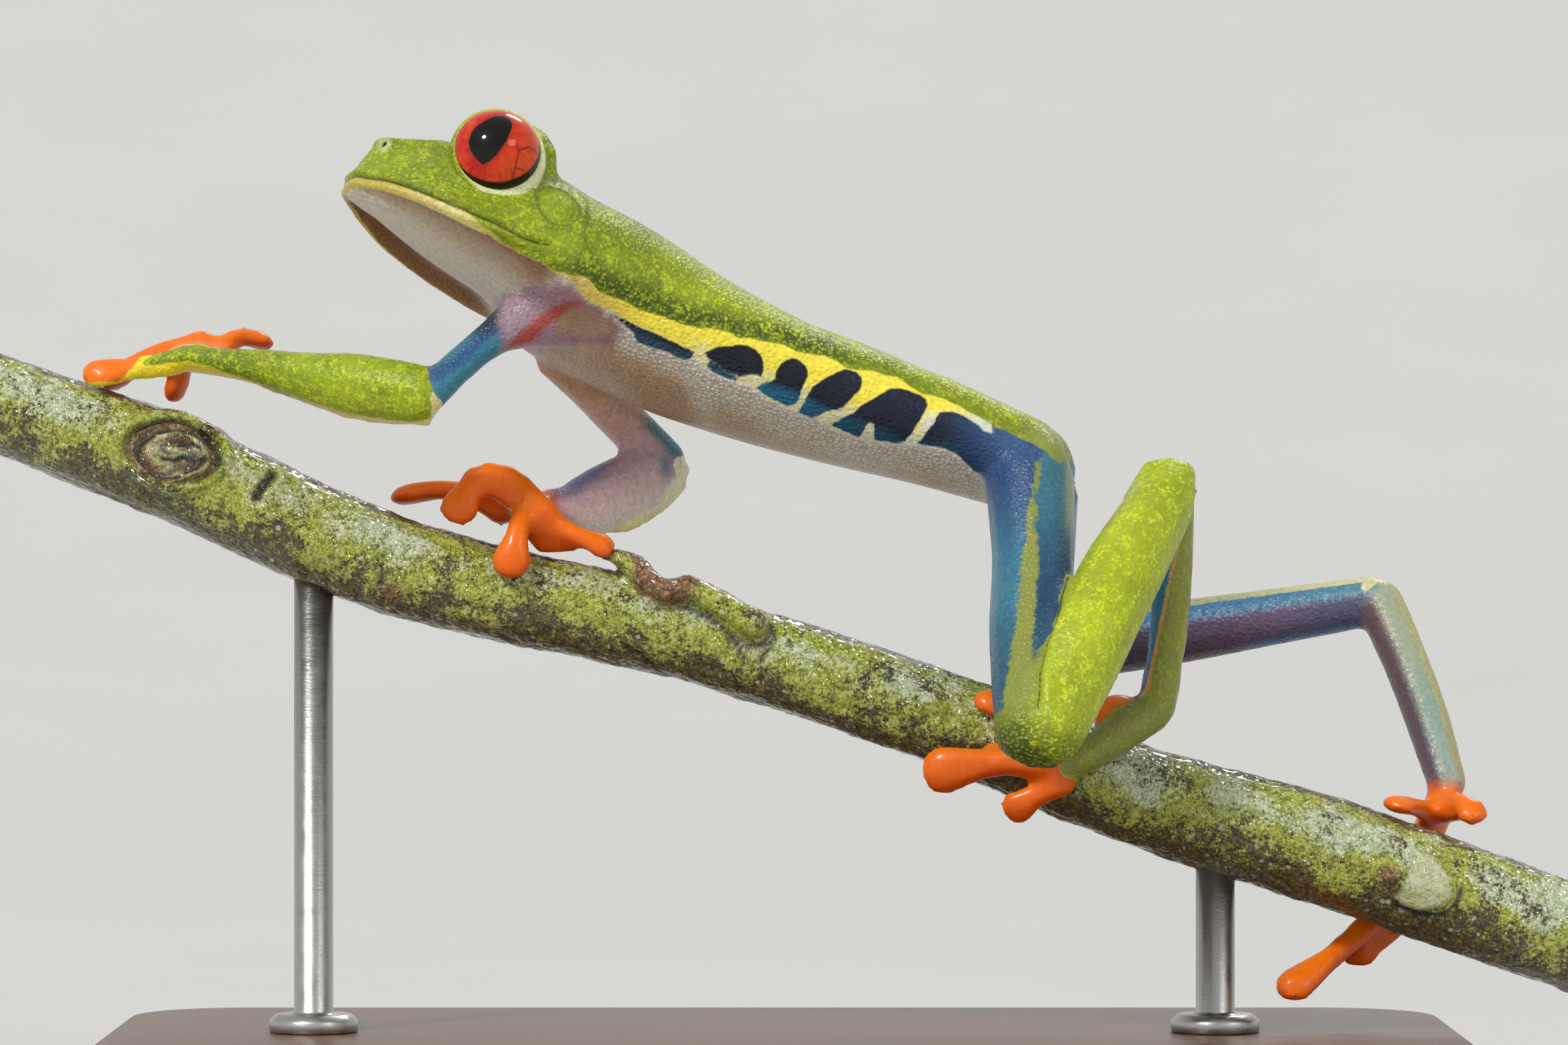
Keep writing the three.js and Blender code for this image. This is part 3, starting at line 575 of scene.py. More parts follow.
# What the skin's attributes hold beside its three colours: distance to edges, grain, cast and fine lines.
PARTS = {
    "edges": ("green", "stripe", "blot"), "grain": ("cobble", "fleck", "gloss"),
    "cast": ("olive", "gold", "rough"), "lines": ("mouth", "ear", "nostril"),
}
FIELDS = [part for parts in PARTS.values() for part in parts]
BARE = {"green": -2, "stripe": -2, "blot": -2, "mouth": 5, "ear": 5, "nostril": 5}  # the others are 0


class Coat:
    """What the skin looks like at some points: base, trim and blot colours, edges and grain.

    Each function below lays one, from the points' places and normals and the side view of them.
    """

    def __init__(self, count):
        self.count = count
        self.tint, self.trim, self.spot = np.zeros(3), colour("E8D86A"), colour("10161E")
        for name in FIELDS:
            setattr(self, name, float(BARE.get(name, 0)))

    def wash(self, over, amount):
        """Lays a colour over the base, by that amount."""
        self.tint = mixed(self.tint, over, amount)

    def table(self):
        """All of it as columns, with distances cut off where they no longer matter."""
        columns = [np.broadcast_to(part, (self.count, 3)) for part in (self.tint, self.trim, self.spot)]
        for name in FIELDS:
            reach = 2 if name in PARTS["edges"] else 5
            columns.append(np.clip(np.broadcast_to(getattr(self, name), self.count), -reach, reach))
        return np.column_stack(columns)


def shoulder(coat, x, z):
    """Mauve skin from the armpit over the root of the near arm, with a red streak."""
    patch = inside(x, z, (
        (-22.6, 61.6), (-21.5, 62.6), (-19, 63.2), (-17, 63.2), (-16.2, 63.1), (-15.4, 62.3), (-13.8, 61.3),
        (-12.6, 60.2), (-12.6, 59), (-13.4, 58.2), (-15.5, 58.6), (-17.5, 59), (-19, 58.2), (-21, 58.2),
        (-21.6, 59.5),
    ))
    mauve = shade(step(x, -20, -13), "A58A96", "A88088", "9C7478")
    flesh = inside(x, z, (
        (-17.6, 61), (-16.4, 61.6), (-14.6, 61.4), (-13.2, 60.6), (-13.2, 59.4), (-15, 59), (-17.4, 59.6),
    ))
    mauve = mixed(mauve, shade(step(z, 59, 61.5), "B5977C", "A8886E"), step(flesh, -0.3, 0.5))
    streak = inside(x, z, (
        (-21.2, 58.4), (-19.6, 59.9), (-18, 61.2), (-16.6, 61.8), (-15.2, 61.85), (-16.6, 61.3),
        (-18, 60.2), (-19.4, 58.9),
    ))
    mauve = mixed(mauve, shade(step(x, -21, -15), "B8321E", "B04A38"), step(streak, -0.35, 0.15) * 0.85)
    ragged = patch + 0.5 * lumps(np.column_stack([x, z, z * 0]), 0.7)
    coat.wash(mauve, step(ragged, -0.5, 0.5) * step(x, -22.8, -20.8))
    coat.cobble *= 1 - step(patch, -0.4, 0.5) * 0.8
    coat.rough = np.maximum(coat.rough, step(patch, -0.4, 0.5) * 0.6)


def trunk_coat(coat, at, out, x, z):
    """Head and trunk: green back, striped flank with blots, pale throat and belly."""
    twin = on_left(at)
    back, _, up = head_places(twin)
    x, z = side_view(twin)
    on_body = step(back, 15.3, 17.5)
    lie = up - follow(back, HEAD_GREEN)
    coat.green = lie * (1 - on_body) + above(x, z, BACK_EDGE) * on_body
    lip = up - follow(back, LIP_EDGE)
    coat.stripe = lip * (1 - on_body) + above(x, z, FLANK_EDGE) * on_body
    # the material paints a dark line along this mouth crease: painted shade
    coat.mouth = np.where(back < 15.8, up - follow(back, MOUTH_LINE), 5)
    fold = above(x, z, FLANK_FOLD)
    # Throat and belly. The throat's brown bands under both lips and on its far side, and the belly's tan
    # towards its lowest edge, are partly painted shade over cream skin.
    half = follow(back, JAW_HALF)
    across = (head_places(at)[1] + half) / (2 * half)
    throat = shade(
        across, "A8824E", "7E5232", "8E6648", "B49C84", "C8BCAA", "CCC2B4", "C8BCA8", "A88868", "7A4C30"
    )
    low = -above(x, z, FLANK_EDGE)
    belly = shade(step(low, 0.5, 3.8), "E2DCCF", "DCD3C4", "CFB596", "BC9A72")
    coat.tint = mixed(throat, belly, step(back, 16, 19))
    coat.cobble = step(back, 17, 20) * step(-coat.stripe, -0.1, 0.4)
    # Blots of the flank.
    mark = np.max([inside(x, z, b) for b in BLOTS], axis=0)
    coat.blot = np.where(back > 17, mark, -2)
    deep = step(-fold, -0.15, 0.5)
    teal = shade(step(x, -8, 8), "24485C", "1C6488", "1A5E82", "14465F")
    spot = mixed(shade(step(x, -6, 10), "0E151B", "0F1424", "101830"), teal, deep)
    rump = step(x, 11.5, 14)
    blue = shade(step(x, 11, 21), "152C44", "1C3C62", "30507E", "38608A", "3A7890")
    coat.spot = mixed(spot, blue, rump)
    hip = step(mark, -0.1, 0.4) * step(x, 11, 12.5)
    coat.wash(coat.spot, hip)
    hip = np.maximum(hip, step(x, 15.4, 16.2))
    coat.wash(coat.spot, hip)
    coat.stripe = coat.stripe * (1 - hip) - 2 * hip
    trim = shade(step(x, -17, -10), "D8C070", "ECD45C", "FBE84A")
    pale = np.maximum(step(fold, 1.3, -0.3), step(x, 9.6, 11.2) * step(z, 53.9, 52.6))
    trim = mixed(trim, shade(step(x, -2, 11), "E8E2AE", "E4E0B4", "D8DCCC"), pale * step(x, -8, -6))
    head_trim = shade(step(back, 1, 16), "C9B652", "D6C66E", "DED488", "D2C464", "A88440")
    coat.trim = mixed(head_trim, trim, on_body)
    coat.gold = 0.5 + 0.5 * step(x, -12, -4) * step(z - follow(x, BACK_EDGE), 0.5, 2)
    coat.rough = 0.35 + 0.65 * step(coat.green, 2.6, 0.8) * step(back, 16, 20) * (1 - step(x, 2, 8))
    coat.rough = coat.rough * (0.3 + 0.7 * step(coat.green, -0.4, 0.4))
    coat.olive = 0.5 * step(x, 13, 20)
    shoulder(coat, x, z)
    # Both lips turn under, and the far one shows as a thin rim.
    back_here, side, rise = head_places(at)
    rim = np.where(side < 0, 0.85, 0.25) - (follow(back_here, JAW_HALF) - np.abs(side))
    ends = step(back_here, 15, 17)
    rim = np.where((rise < 0.1) & (rise > -1.6), rim * (1 - ends) - 2 * ends, -2)
    coat.stripe = np.maximum(coat.stripe, rim)
    # Pale lids, ear and nostril.
    gap, around, _ = lid_gap(at)
    behind = np.cos(np.radians(around - 205)) * 0.5 + 0.5
    pale = follow(around % 360, PALE_LID) - gap
    coat.green = np.minimum(coat.green, -pale)
    lid = step(pale, -0.5, 0)
    coat.trim = mixed(coat.trim, shade(behind, "B9B43C", "D8D684", "DFE0B4"), lid)
    coat.rough = coat.rough * (1 - lid)
    coat.ear = ear_gap(twin)
    gap = twin - on_head(*NOSTRIL)
    coat.nostril = np.hypot(gap @ HEAD[0] * 1.25, gap @ HEAD[2] * 0.75) - 0.2
    coat.nostril = coat.nostril + (np.abs(gap @ HEAD[1]) > 1) * 5


def blue_arm(coat, at, out, x, z):
    """The near upper arm: violet at the shoulder, blue above, teal below."""
    across = above(x, z, ELBOW_LINE)
    coat.tint = shade(step(across, -1.4, 1.5), "3E8296", "37809C", "285C84", "2C5680", "488492")
    elbow = Coat(len(at))
    green_arm(elbow, at, out, x, z)
    coat.green = np.where(x < -25.6, elbow.green, -2)
    coat.stripe = np.where(x < -25.6, elbow.stripe, -2)
    coat.trim = elbow.trim
    night = step(x, -25.6, -23) * step(z, 58.4, 60.4)
    coat.wash(shade(step(across, -1, 1.2), "4C4A78", "262C4C", "2A3348"), night)
    coat.fleck = 0.5
    coat.wash(colour("A58A96"), step(x + 0.35 * lumps(at, 0.5), -22.2, -20.6))
    coat.fleck = coat.fleck * (1 - step(x, -21.4, -19.8))
    coat.rough = 0.5 * night
    shoulder(coat, x, z)


def green_arm(coat, at, out, x, z):
    """The near forearm and hand: green above, a pale fringe below, mauve on the far side."""
    coat.tint = shade(step(x, -40, -28), "C9A58E", "B58F92", "9C8AA0")
    edge = above(x, z, FOREARM_EDGE)
    rim = follow(x, FOREARM_RIM)
    end = -27.35 + (57.1 - z) * 0.24 - x + 0.3 * lumps(np.column_stack([x, z, z * 0]), 0.9, 2)
    tip = step(z, 55.4, 54.2)
    coat.green = np.minimum.reduce((edge - rim, (0.35 - out[:, 1]) * 2.5, end - 0.45 * tip))
    coat.stripe = np.minimum((0.6 - out[:, 1]) * 2.5, end + 0.5 * tip - 0.25 * (1 - tip))
    coat.trim = shade(step(x, -48, -27), "F2D92A", "E6C83C", "D8B455", "DCC276", "E6DC9C")
    coat.gold = 0.6
    coat.rough = 0.5 * step(x, -36, -42)
    wrist = step(x, -42.5, -41) * step(x, -37, -38.4) * step(z, 57.9, 58.5)
    coat.green -= wrist * 0.8 * (1 - step(z, 58.2, 57.9))
    coat.wash(colour("5B7C8C"), wrist)
    coat.stripe = np.where(wrist > 0.3, -1, coat.stripe)


def near_finger(coat, at, out, x, z):
    """The near outer finger: green above, yellow below, orange pad."""
    green_arm(coat, at, out, x, z)
    border = x + 49.9 - 0.9 * (z - 56.2) + 0.35 * lumps(at, 0.7, 6)
    pad = step(border, 0, -1)
    coat.tint = colour("EE7410")
    coat.green = np.minimum(coat.green, border)
    coat.stripe = np.minimum(coat.stripe, np.where(pad > 0, np.maximum(border + 0.6, 55.75 - z), 2))
    coat.gloss = 0.5 + pad * 0.5


def digits(coat, at, out, x, z):
    """Orange fingers and toes, with painted shade making them redder where they face down and painted light
    making them brighter where they face up.
    """
    # painted shade and light: the orange darkens towards the undersides and brightens towards the tops
    coat.tint = shade(0.5 + 0.5 * out[:, 2], "CC4402", "E46402", "EE7604")
    coat.gloss = 1.0


def far_arm(coat, at, out, x, z):
    """The far forearm and hand: pink inside, with a pale yellow fringe."""
    coat.tint = shade(step(z - 0.45 * (x + 12), 44, 50), "F2EAE2", "F0DAD4", "E8C4C6", "CCB0C0")
    coat.wash(colour("66688F"), step(out[:, 2] - 0.5 * out[:, 0], 0.15, 0.9) * step(x, -12, -14.5))
    coat.wash(colour("4C8094"), step(out[:, 2] + out[:, 0], 0.5, 1.0) * step(x, -9.9, -8.9))
    edge = (out[:, 0] * 0.6 - out[:, 2] * 0.8)
    fringe = 0.5 + 0.25 * step(z, 46, 48.5) - above(x, z, FAR_FRINGE) + 0.2 * lumps(at, 0.8, 4)
    coat.stripe = np.maximum(fringe, 0.9 - np.hypot(x + 7.6, z - 49.4))
    coat.trim = shade(step(z, 44, 49), "FFF4B4", "FFFCE0")
    coat.green = np.minimum.reduce(((out[:, 1] - 0.6) * 2.2, edge * 2 + 1.6, above(x, z, FAR_FRINGE) - 1.4))
    coat.gold = 0.5


def far_upper_arm(coat, at, out, x, z):
    """The far upper arm: tan inside, turning brown towards the shoulder, which is partly painted shade; blue
    outside.
    """
    # partly painted shade: browner towards the shoulder, where the body shades the arm
    coat.tint = shade(step(z, 51, 57), "CCA8A8", "CCA890", "B4865C")
    coat.stripe = 0.7 - np.hypot(x + 7.8, z - 49.4)
    coat.trim = colour("F6F0CC")
    coat.wash(colour("3D6E90"), step(out[:, 1], -0.2, 0.4))
    teal = step(out[:, 0] + out[:, 2], 0.45, 0.95) * step(x, -11.6, -10) * step(z, 54, 52.5)
    coat.wash(colour("4C8094"), teal)
    coat.rough = 0.3


def thigh_fold(at, out):
    """How far each point lies behind the fold between thigh and shank."""
    x, z = side_view(at)
    gap = x - follow(z, THIGH_FOLD)
    return np.where((z > 30.6) & (z < 41) & (out[:, 1] < 0.3) & (np.abs(gap) < 3), gap, 5)


def near_thigh(coat, at, out, x, z):
    """The near thigh: blue, with a narrow olive stripe."""
    up, middle, half = np.array(THIGH_STRIPE).T
    across, half = x - np.interp(z, up, middle), np.interp(z, up, half)
    front = shade(step(z, 33, 49), "2C5A74", "3C7A92", "38748E", "30507C")
    rear = shade(step(z, 34, 48), "22566E", "1C4468", "26577A", "3A7488")
    coat.tint = mixed(front, rear, step(across, -0.1, 0.1))
    coat.wash(colour("345080"), step(z, 46.5, 49) * step(x, 19, 17.5))
    coat.wash(colour("93A083"), step(x, 21.3, 21.9) * step(z, 43, 46))
    facing = step(out[:, 1], 0.25, -0.1)
    coat.green = (half - np.abs(across) - 0.1) * 0.45 * facing - 2 * (1 - facing)
    coat.green = np.maximum(coat.green, above(x, z, BACK_EDGE))
    knee = step(z, 31.5, 29)
    coat.green = np.maximum(coat.green, knee * 4 - 2)
    coat.olive = 0.95 * (1 - knee) + 0.3 * knee
    coat.gold = 0.1 * (1 - knee)
    coat.fleck = 0.6 * (1 - step(across, -0.1, 0.1) * 0.5)
    # the knee fold rides in the mouth layer, so the material paints the same dark line of shade along it
    coat.mouth = thigh_fold(at, out)
    coat.rough = step(z, 31.5, 28.5)


def near_shank(coat, at, out, x, z):
    """The near shank: olive outside, violet blue inside."""
    coat.tint = shade(step(z, 30, 46), "4A5C8C", "5A5F94", "4A78A0")
    coat.green = (0.45 - out[:, 1]) * 3
    coat.stripe = (0.55 - out[:, 1]) * 3
    coat.trim = colour("C9B86A")
    coat.gold = 1.0
    coat.fleck = 0.4
    # the knee fold rides in the mouth layer, so the material paints the same dark line of shade along it
    coat.mouth = thigh_fold(at, out)
    coat.rough = step(z + 0.5 * x, 40.5, 38.5)


def near_tarsus(coat, at, out, x, z):
    """The near tarsus: blue in front, olive behind a thin tan line."""
    across = (x - follow(z, TARSUS_LINE)) * 0.97
    coat.tint = shade(step(z, 31, 45), "2C4F80", "2F88A4", "3A86B4")
    coat.wash(colour("33405C"), step(out[:, 1], 0, 0.7))
    coat.green = np.minimum(across - 0.16, (0.6 - out[:, 1]) * 2.5)
    coat.green = np.where(z < 30.6, np.maximum(coat.green, (30.6 - z) * 2), coat.green)
    coat.stripe = across + 0.14
    coat.trim = shade(step(z, 31, 40), "D09A50", "C9A868")
    coat.olive = 0.85
    coat.gold = 0.25


def near_foot(coat, at, out, x, z):
    """The near foot: olive, turning orange towards its toes."""
    coat.tint = shade(step(x, 20, 26), "D4500C", "A86A18")
    coat.green = np.minimum(x - 20.5, (0.6 - out[:, 1]) * 3)
    coat.stripe = coat.green + 0.4
    coat.trim = colour("B58A20")
    coat.olive = 1.0
    coat.gold = 0.2
    coat.gloss = step(x, 23, 21)


def far_thigh(coat, at, out, x, z):
    """The far thigh: blue, green on top."""
    coat.tint = shade(0.5 + 0.5 * out[:, 2], "2C5C94", "2A6FA6", "4A5C9C")
    coat.green = (out @ np.array((0.2, 0.3, 0.93)) - 0.62) * 3
    coat.green = np.maximum(coat.green, above(x, z, BACK_EDGE))
    coat.olive = 0.4
    coat.gold = 0.4
    coat.fleck = 0.9


def far_shank(coat, at, out, x, z):
    """The far shank: mauve inside, blue on top, with a pale outer edge."""
    top = out @ np.array((-0.25, 0.25, 0.93))
    coat.tint = shade(step(x, 31, 44), "5C4C62", "6E5C76", "5C5C7C")
    coat.wash(shade(step(x, 31, 45), "386E94", "427896", "56889A"), step(top, -0.05, 0.3))
    coat.wash(colour("4A6A94"), step(top, -0.7, -0.9) * step(x, 34, 37))
    outer = out @ np.array((-0.1, 0.72, 0.68))
    coat.green = (outer - 0.78) * 3
    coat.stripe = (np.maximum(outer, top) - 0.66) * 3
    heel = np.hypot(x - 46.5, (z - 39.6) * 1.3) + 0.8 * lumps(at, 1.2, 3)
    coat.stripe = np.maximum(coat.stripe, (2.3 - heel) * 0.6)
    coat.trim = shade(step(x, 31, 44), "9AA070", "B4B482", "CFCB98")
    coat.gold = 0.5
    coat.fleck = 0.3


def far_tarsus(coat, at, out, x, z):
    """The far tarsus: mauve, and grey green behind."""
    right = out @ np.array((0.94, 0, 0.34))
    coat.tint = shade(step(z, 24, 38), "5C4C58", "644C52")
    coat.wash(shade(step(z, 24, 38), "98A89C", "8CA294", "A0A88C"), step(right, -0.55, 0.0))
    coat.stripe = (right - 0.62) * 2.4
    coat.trim = shade(step(z, 24, 38), "A8A272", "B4B07A")
    coat.green = np.minimum((out @ np.array((0.5, 0.85, 0.1)) - 0.55) * 2.5, 2)
    coat.gloss = 0.3
    coat.gold = 0.3


COATS = {
    "upper_arm_left": blue_arm, "forearm_left": green_arm, "hand_left": green_arm,
    "finger_left_4": near_finger, "upper_arm_right": far_upper_arm, "forearm_right": far_arm,
    "thigh_left": near_thigh, "shank_left": near_shank,
    "tarsus_left": near_tarsus, "foot_left": near_foot, "thigh_right": far_thigh, "shank_right": far_shank,
    "tarsus_right": far_tarsus,
    "head": trunk_coat, "jaw": trunk_coat, "chest": trunk_coat, "abdomen": trunk_coat,
}


def paint(mesh, owner, at, out):
    """Lays the markings on the skin as layers of numbers, told from its places before the carving."""
    ends = edge_ends(mesh)
    kinds = [COATS.get(n, digits) for n in FLESH]
    total = np.zeros((len(at), 9 + len(FIELDS)))
    weight = np.zeros(len(at))
    for kind in dict.fromkeys(kinds):
        here = np.array([k is kind for k in kinds])[owner].astype(float)
        here = spread(ends, here, 5)
        use = np.nonzero(here > 0.01)[0]
        coat = Coat(len(use))
        kind(coat, at[use], out[use], *side_view(at[use]))
        total[use] += here[use, None] * coat.table()
        weight[use] += here[use]
    total /= weight[:, None]
    names = ("tint", "trim", "spot", *PARTS)
    set_layers(mesh, **{name: total[:, 3 * i:3 * i + 3].T for i, name in enumerate(names)})


# ---------------------------------------------------------------- materials


# The setting that a node's second word stands for.
MODES = {
    "Math": "operation", "VectorMath": "operation", "MapRange": "interpolation_type", "TexVoronoi": "feature",
}


def add(tree, kind, *values, out=None, stops=(), **settings):
    """Adds a shader node with its settings, values and links, and gives one of its outputs.

    Values fill the inputs in order, or a dictionary names them; a text is an sRGB hex colour.
    """
    kind, *mode = kind.split()
    node = tree.nodes.new("ShaderNode" + kind)
    if mode:
        settings[MODES[kind]] = mode[0]
    slots = range(len(values))
    if kind == "Mix":
        settings["data_type"] = "RGBA"
        slots, out = (0, 6, 7), 2
    for name, value in settings.items():
        setattr(node, name, value)
    for place, (at, text) in enumerate(stops):
        points = node.color_ramp.elements
        point = points[place] if place < len(points) else points.new(at)
        point.position = at
        point.color = (*colour(text), 1)
    given = values[0] if values and isinstance(values[0], dict) else dict(zip(slots, values))
    for name, value in given.items():
        if isinstance(value, bpy.types.NodeSocket):
            tree.links.new(value, node.inputs[name])
        else:
            node.inputs[name].default_value = (*colour(value), 1) if isinstance(value, str) else value
    return node.outputs[out or 0] if node.outputs else None


def fresh(name):
    """An empty material, a function that adds nodes to it, and object coordinates in millimetres."""
    made = bpy.data.materials.new(name)
    made.use_nodes = True
    made.node_tree.nodes.clear()
    put = partial(add, made.node_tree)
    return made, put, put("Mapping", {"Vector": put("TexCoord", out="Object"), "Scale": (1000, 1000, 1000)})


def read_layers(put, layers):
    """The numbers that the mesh carries, each by the name of its part."""
    has = {}
    for name, parts in layers.items():
        whole = put("Attribute", out="Vector", attribute_name=name)
        for axis, part in zip("XYZ", parts):
            has[part] = put("SeparateXYZ", {"Vector": whole}, out=axis)
    return has


def moist_skin(colours, sizes):
    """Living frog skin: fine granules under a film of water, so small broken lights lie on soft colour."""
    made, put, mm = fresh("moist frog skin")
    has = read_layers(put, PARTS)
    names = ("tint", "trim", "spot")
    base, trim, spot = (put("Attribute", out="Color", attribute_name=name) for name in names)
    cell = 1 / sizes.granule  # granules a millimetre, a little longer than wide, in rows along the body
    rows = put("Mapping", {"Vector": mm, "Rotation": (0.0, -0.38, 0.0), "Scale": (0.78 * cell, cell, cell)})
    drift, wobble, mottle, fine = (
        put("TexNoise", {"Vector": mm, "Scale": scale, "Detail": detail, "Roughness": rough})
        for scale, detail, rough in ((0.3, 2, 0.5), (1.2, 3, 0.6), (2.4, 3, 0.65), (5.5, 2, 0.6))
    )
    bumps = put("TexVoronoi SMOOTH_F1", {
        "Vector": rows, "Scale": 1.0, "Randomness": 0.75, "Smoothness": 0.2,
    })
    seam = put("TexVoronoi DISTANCE_TO_EDGE", {"Vector": rows, "Scale": 1.0, "Randomness": 0.75})
    dots = put("TexVoronoi", {"Vector": mm, "Scale": 3.4})
    chance = put("SeparateColor", {"Color": put("TexVoronoi", {"Vector": mm, "Scale": 3.4}, out="Color")})
    # Belly cobbles: pale islands with thin dark lines.
    lines = put("MapRange SMOOTHSTEP", seam, 0.0, 0.2)
    lines = put("Math SUBTRACT", 1.0, lines)
    lines = put("Math MULTIPLY", lines, has["cobble"])
    lines = put("Math MULTIPLY", lines, 0.62)
    ground = put("Mix", lines, base, "7E705C")
    dull = put("MapRange", has["gloss"], 0, 1, 0.78, 0.94)
    cast = put("MapRange", mottle, 0.3, 0.7, dull, 1.1)
    ground = put("VectorMath SCALE", {0: ground, "Scale": cast})
    # Pale flecks of the blue parts.
    flecks = put("MapRange", dots, 0.2, 0.12)
    chosen = put("MapRange", chance, 0.5, 0.55)
    flecks = put("Math MULTIPLY", flecks, chosen)
    pale = put("Math MULTIPLY", flecks, has["fleck"])
    pale = put("Math MULTIPLY", pale, 0.5)
    ground = put("Mix", pale, ground, "BFD9C4")
    # Green of the back.
    leaf = put("Math MULTIPLY_ADD", drift, 0.5, 0.0)
    leaf = put("Math MULTIPLY_ADD", mottle, 0.5, leaf)
    leaf = put("MapRange", leaf, 0.36, 0.64)
    green = put("Mix", leaf, (*colours.deep_green, 1), (*colours.back_green, 1))
    olive = put("Mix", has["olive"], green, (*colours.olive, 1))
    grit = put("MapRange", bumps, 0.15, 0.5)
    grit = put("Math MULTIPLY", grit, has["rough"])
    olive = put("Mix", grit, olive, "46540F")
    cluster = put("MapRange", wobble, 0.38, 0.6, -0.05, 0.55)
    bright = put("Math SUBTRACT", cluster, dots)
    bright = put("Math MULTIPLY_ADD", mottle, 0.5, bright)
    bright = put("MapRange", bright, 0.08, 0.5, 0, 0.85)
    bright = put("Math MULTIPLY", bright, has["gold"])
    sunny = put("MapRange", has["gold"], 0.6, 1.0, 0, 0.22)
    bright = put("Math MAXIMUM", bright, sunny)
    olive = put("Mix", bright, olive, (*colours.speck_yellow, 1))
    # Where green, trim and blots lie.
    trim_cast = put("MapRange", mottle, 0.35, 0.65, 0.82, 1.08)
    trim = put("VectorMath SCALE", {0: trim, "Scale": trim_cast})
    look = ground
    for part, rough, by, none, full, layer in (
        ("stripe", wobble, 0.3, 0.08, 0.22, trim), ("blot", mottle, 0.3, 0.06, 0.24, spot),
        ("green", wobble, 0.5, 0.17, 0.33, olive),
    ):
        edge = put("Math MULTIPLY_ADD", rough, by, has[part])
        look = put("Mix", put("MapRange SMOOTHSTEP", edge, none, full), look, layer)
    # Mouth line, ear and nostril. The dark line along the mouth and along the knee fold, and the black in the
    # nostril, are painted shade in those creases and holes.
    lips, ring = put("Math ABSOLUTE", has["mouth"]), put("Math ABSOLUTE", has["ear"])
    for part, none, full, most, text in (
        (lips, 0.13, 0.03, 0.75, "3C3C10"), (ring, 0.16, 0.02, 0.65, "40602C"),
        (has["ear"], 0.1, -0.4, 0.35, "A3B52A"), (has["nostril"], 0.5, 0.1, 0.55, "C2CF9A"),
        (has["nostril"], 0.06, -0.04, 1, "0C0E08"),
    ):
        look = put("Mix", put("MapRange", part, none, full, 0, most), look, text)
    # Relief and wetness.
    dome = put("MapRange", bumps, 0.6, 0.05)
    strong = put("Math MAXIMUM", has["rough"], has["cobble"])
    strong = put("MapRange", strong, 0, 1, 0.45, 1.0)
    calm = put("MapRange", has["gloss"], 0, 1, 1.0, 0.12)
    strong = put("Math MULTIPLY", strong, calm)
    high = put("Math MULTIPLY", dome, strong)
    pores = put("Math MULTIPLY", fine, calm)
    high = put("Math MULTIPLY_ADD", pores, 0.4, high)
    relief = put("Bump", {"Height": high, "Strength": 0.9, "Distance": 0.00012})
    wet = put("MapRange", mottle, 0.3, 0.7, 0.3, 0.46)
    surface = put("BsdfPrincipled", {
        "Base Color": look, "Roughness": wet, "Normal": relief, "IOR": 1.33, "Subsurface Weight": 0.12,
        "Subsurface Radius": (1.0, 0.6, 0.35), "Subsurface Scale": 0.0008, "Coat Weight": 0.4,
        "Coat Roughness": 0.1, "Coat IOR": 1.33, "Coat Normal": relief,
    })
    put("OutputMaterial", {"Surface": surface})
    return made


def wet_eye(colours):
    """The living eye: a clear cornea with sharp lights over a red iris of fine radial fibres."""
    made, put, mm = fresh("clear cornea over red iris")
    has = read_layers(put, {"iris": ("pupil", "rim", "lean"), "vein": ("vein",)})
    fibre = put("Attribute", out="Vector", attribute_name="fibre")
    threads = put("TexNoise", {"Vector": fibre, "Scale": 5.0, "Detail": 4.0, "Roughness": 0.7})
    cloud = put("TexNoise", {"Vector": mm, "Scale": 0.9, "Detail": 2.0})
    red = put("Mix", has["lean"], (*colours.iris_red, 1), (*colours.iris_orange, 1))
    vein = put("Math MULTIPLY_ADD", threads, 0.5, has["vein"])
    # the third mix darkens the iris in a ring round the pupil: painted shade
    for part, none, full, most, text in (
        (threads, 0.56, 0.34, 0.6, "8E1206"), (cloud, 0.5, 0.75, 0.35, "FF6A1C"),
        (has["pupil"], -0.5, 0.0, 0.45, "6E0C06"), (vein, 0.84, 1.08, 0.75, "6A0A06"),
    ):
        red = put("Mix", put("MapRange", part, none, full, 0, most), red, text)
    edge = put("MapRange SMOOTHSTEP", has["rim"], 0.5, 0.28)
    red = put("Mix", edge, red, "120806")
    hole = put("MapRange SMOOTHSTEP", has["pupil"], -0.05, 0.05)
    look = put("Mix", hole, red, "050404")
    surface = put("BsdfPrincipled", {
        "Base Color": look, "Roughness": 0.4, "Specular IOR Level": 0.05, "Coat Weight": 1.0,
        "Coat Roughness": 0.015, "Coat IOR": 1.36,
    })
    put("OutputMaterial", {"Surface": surface})
    return made


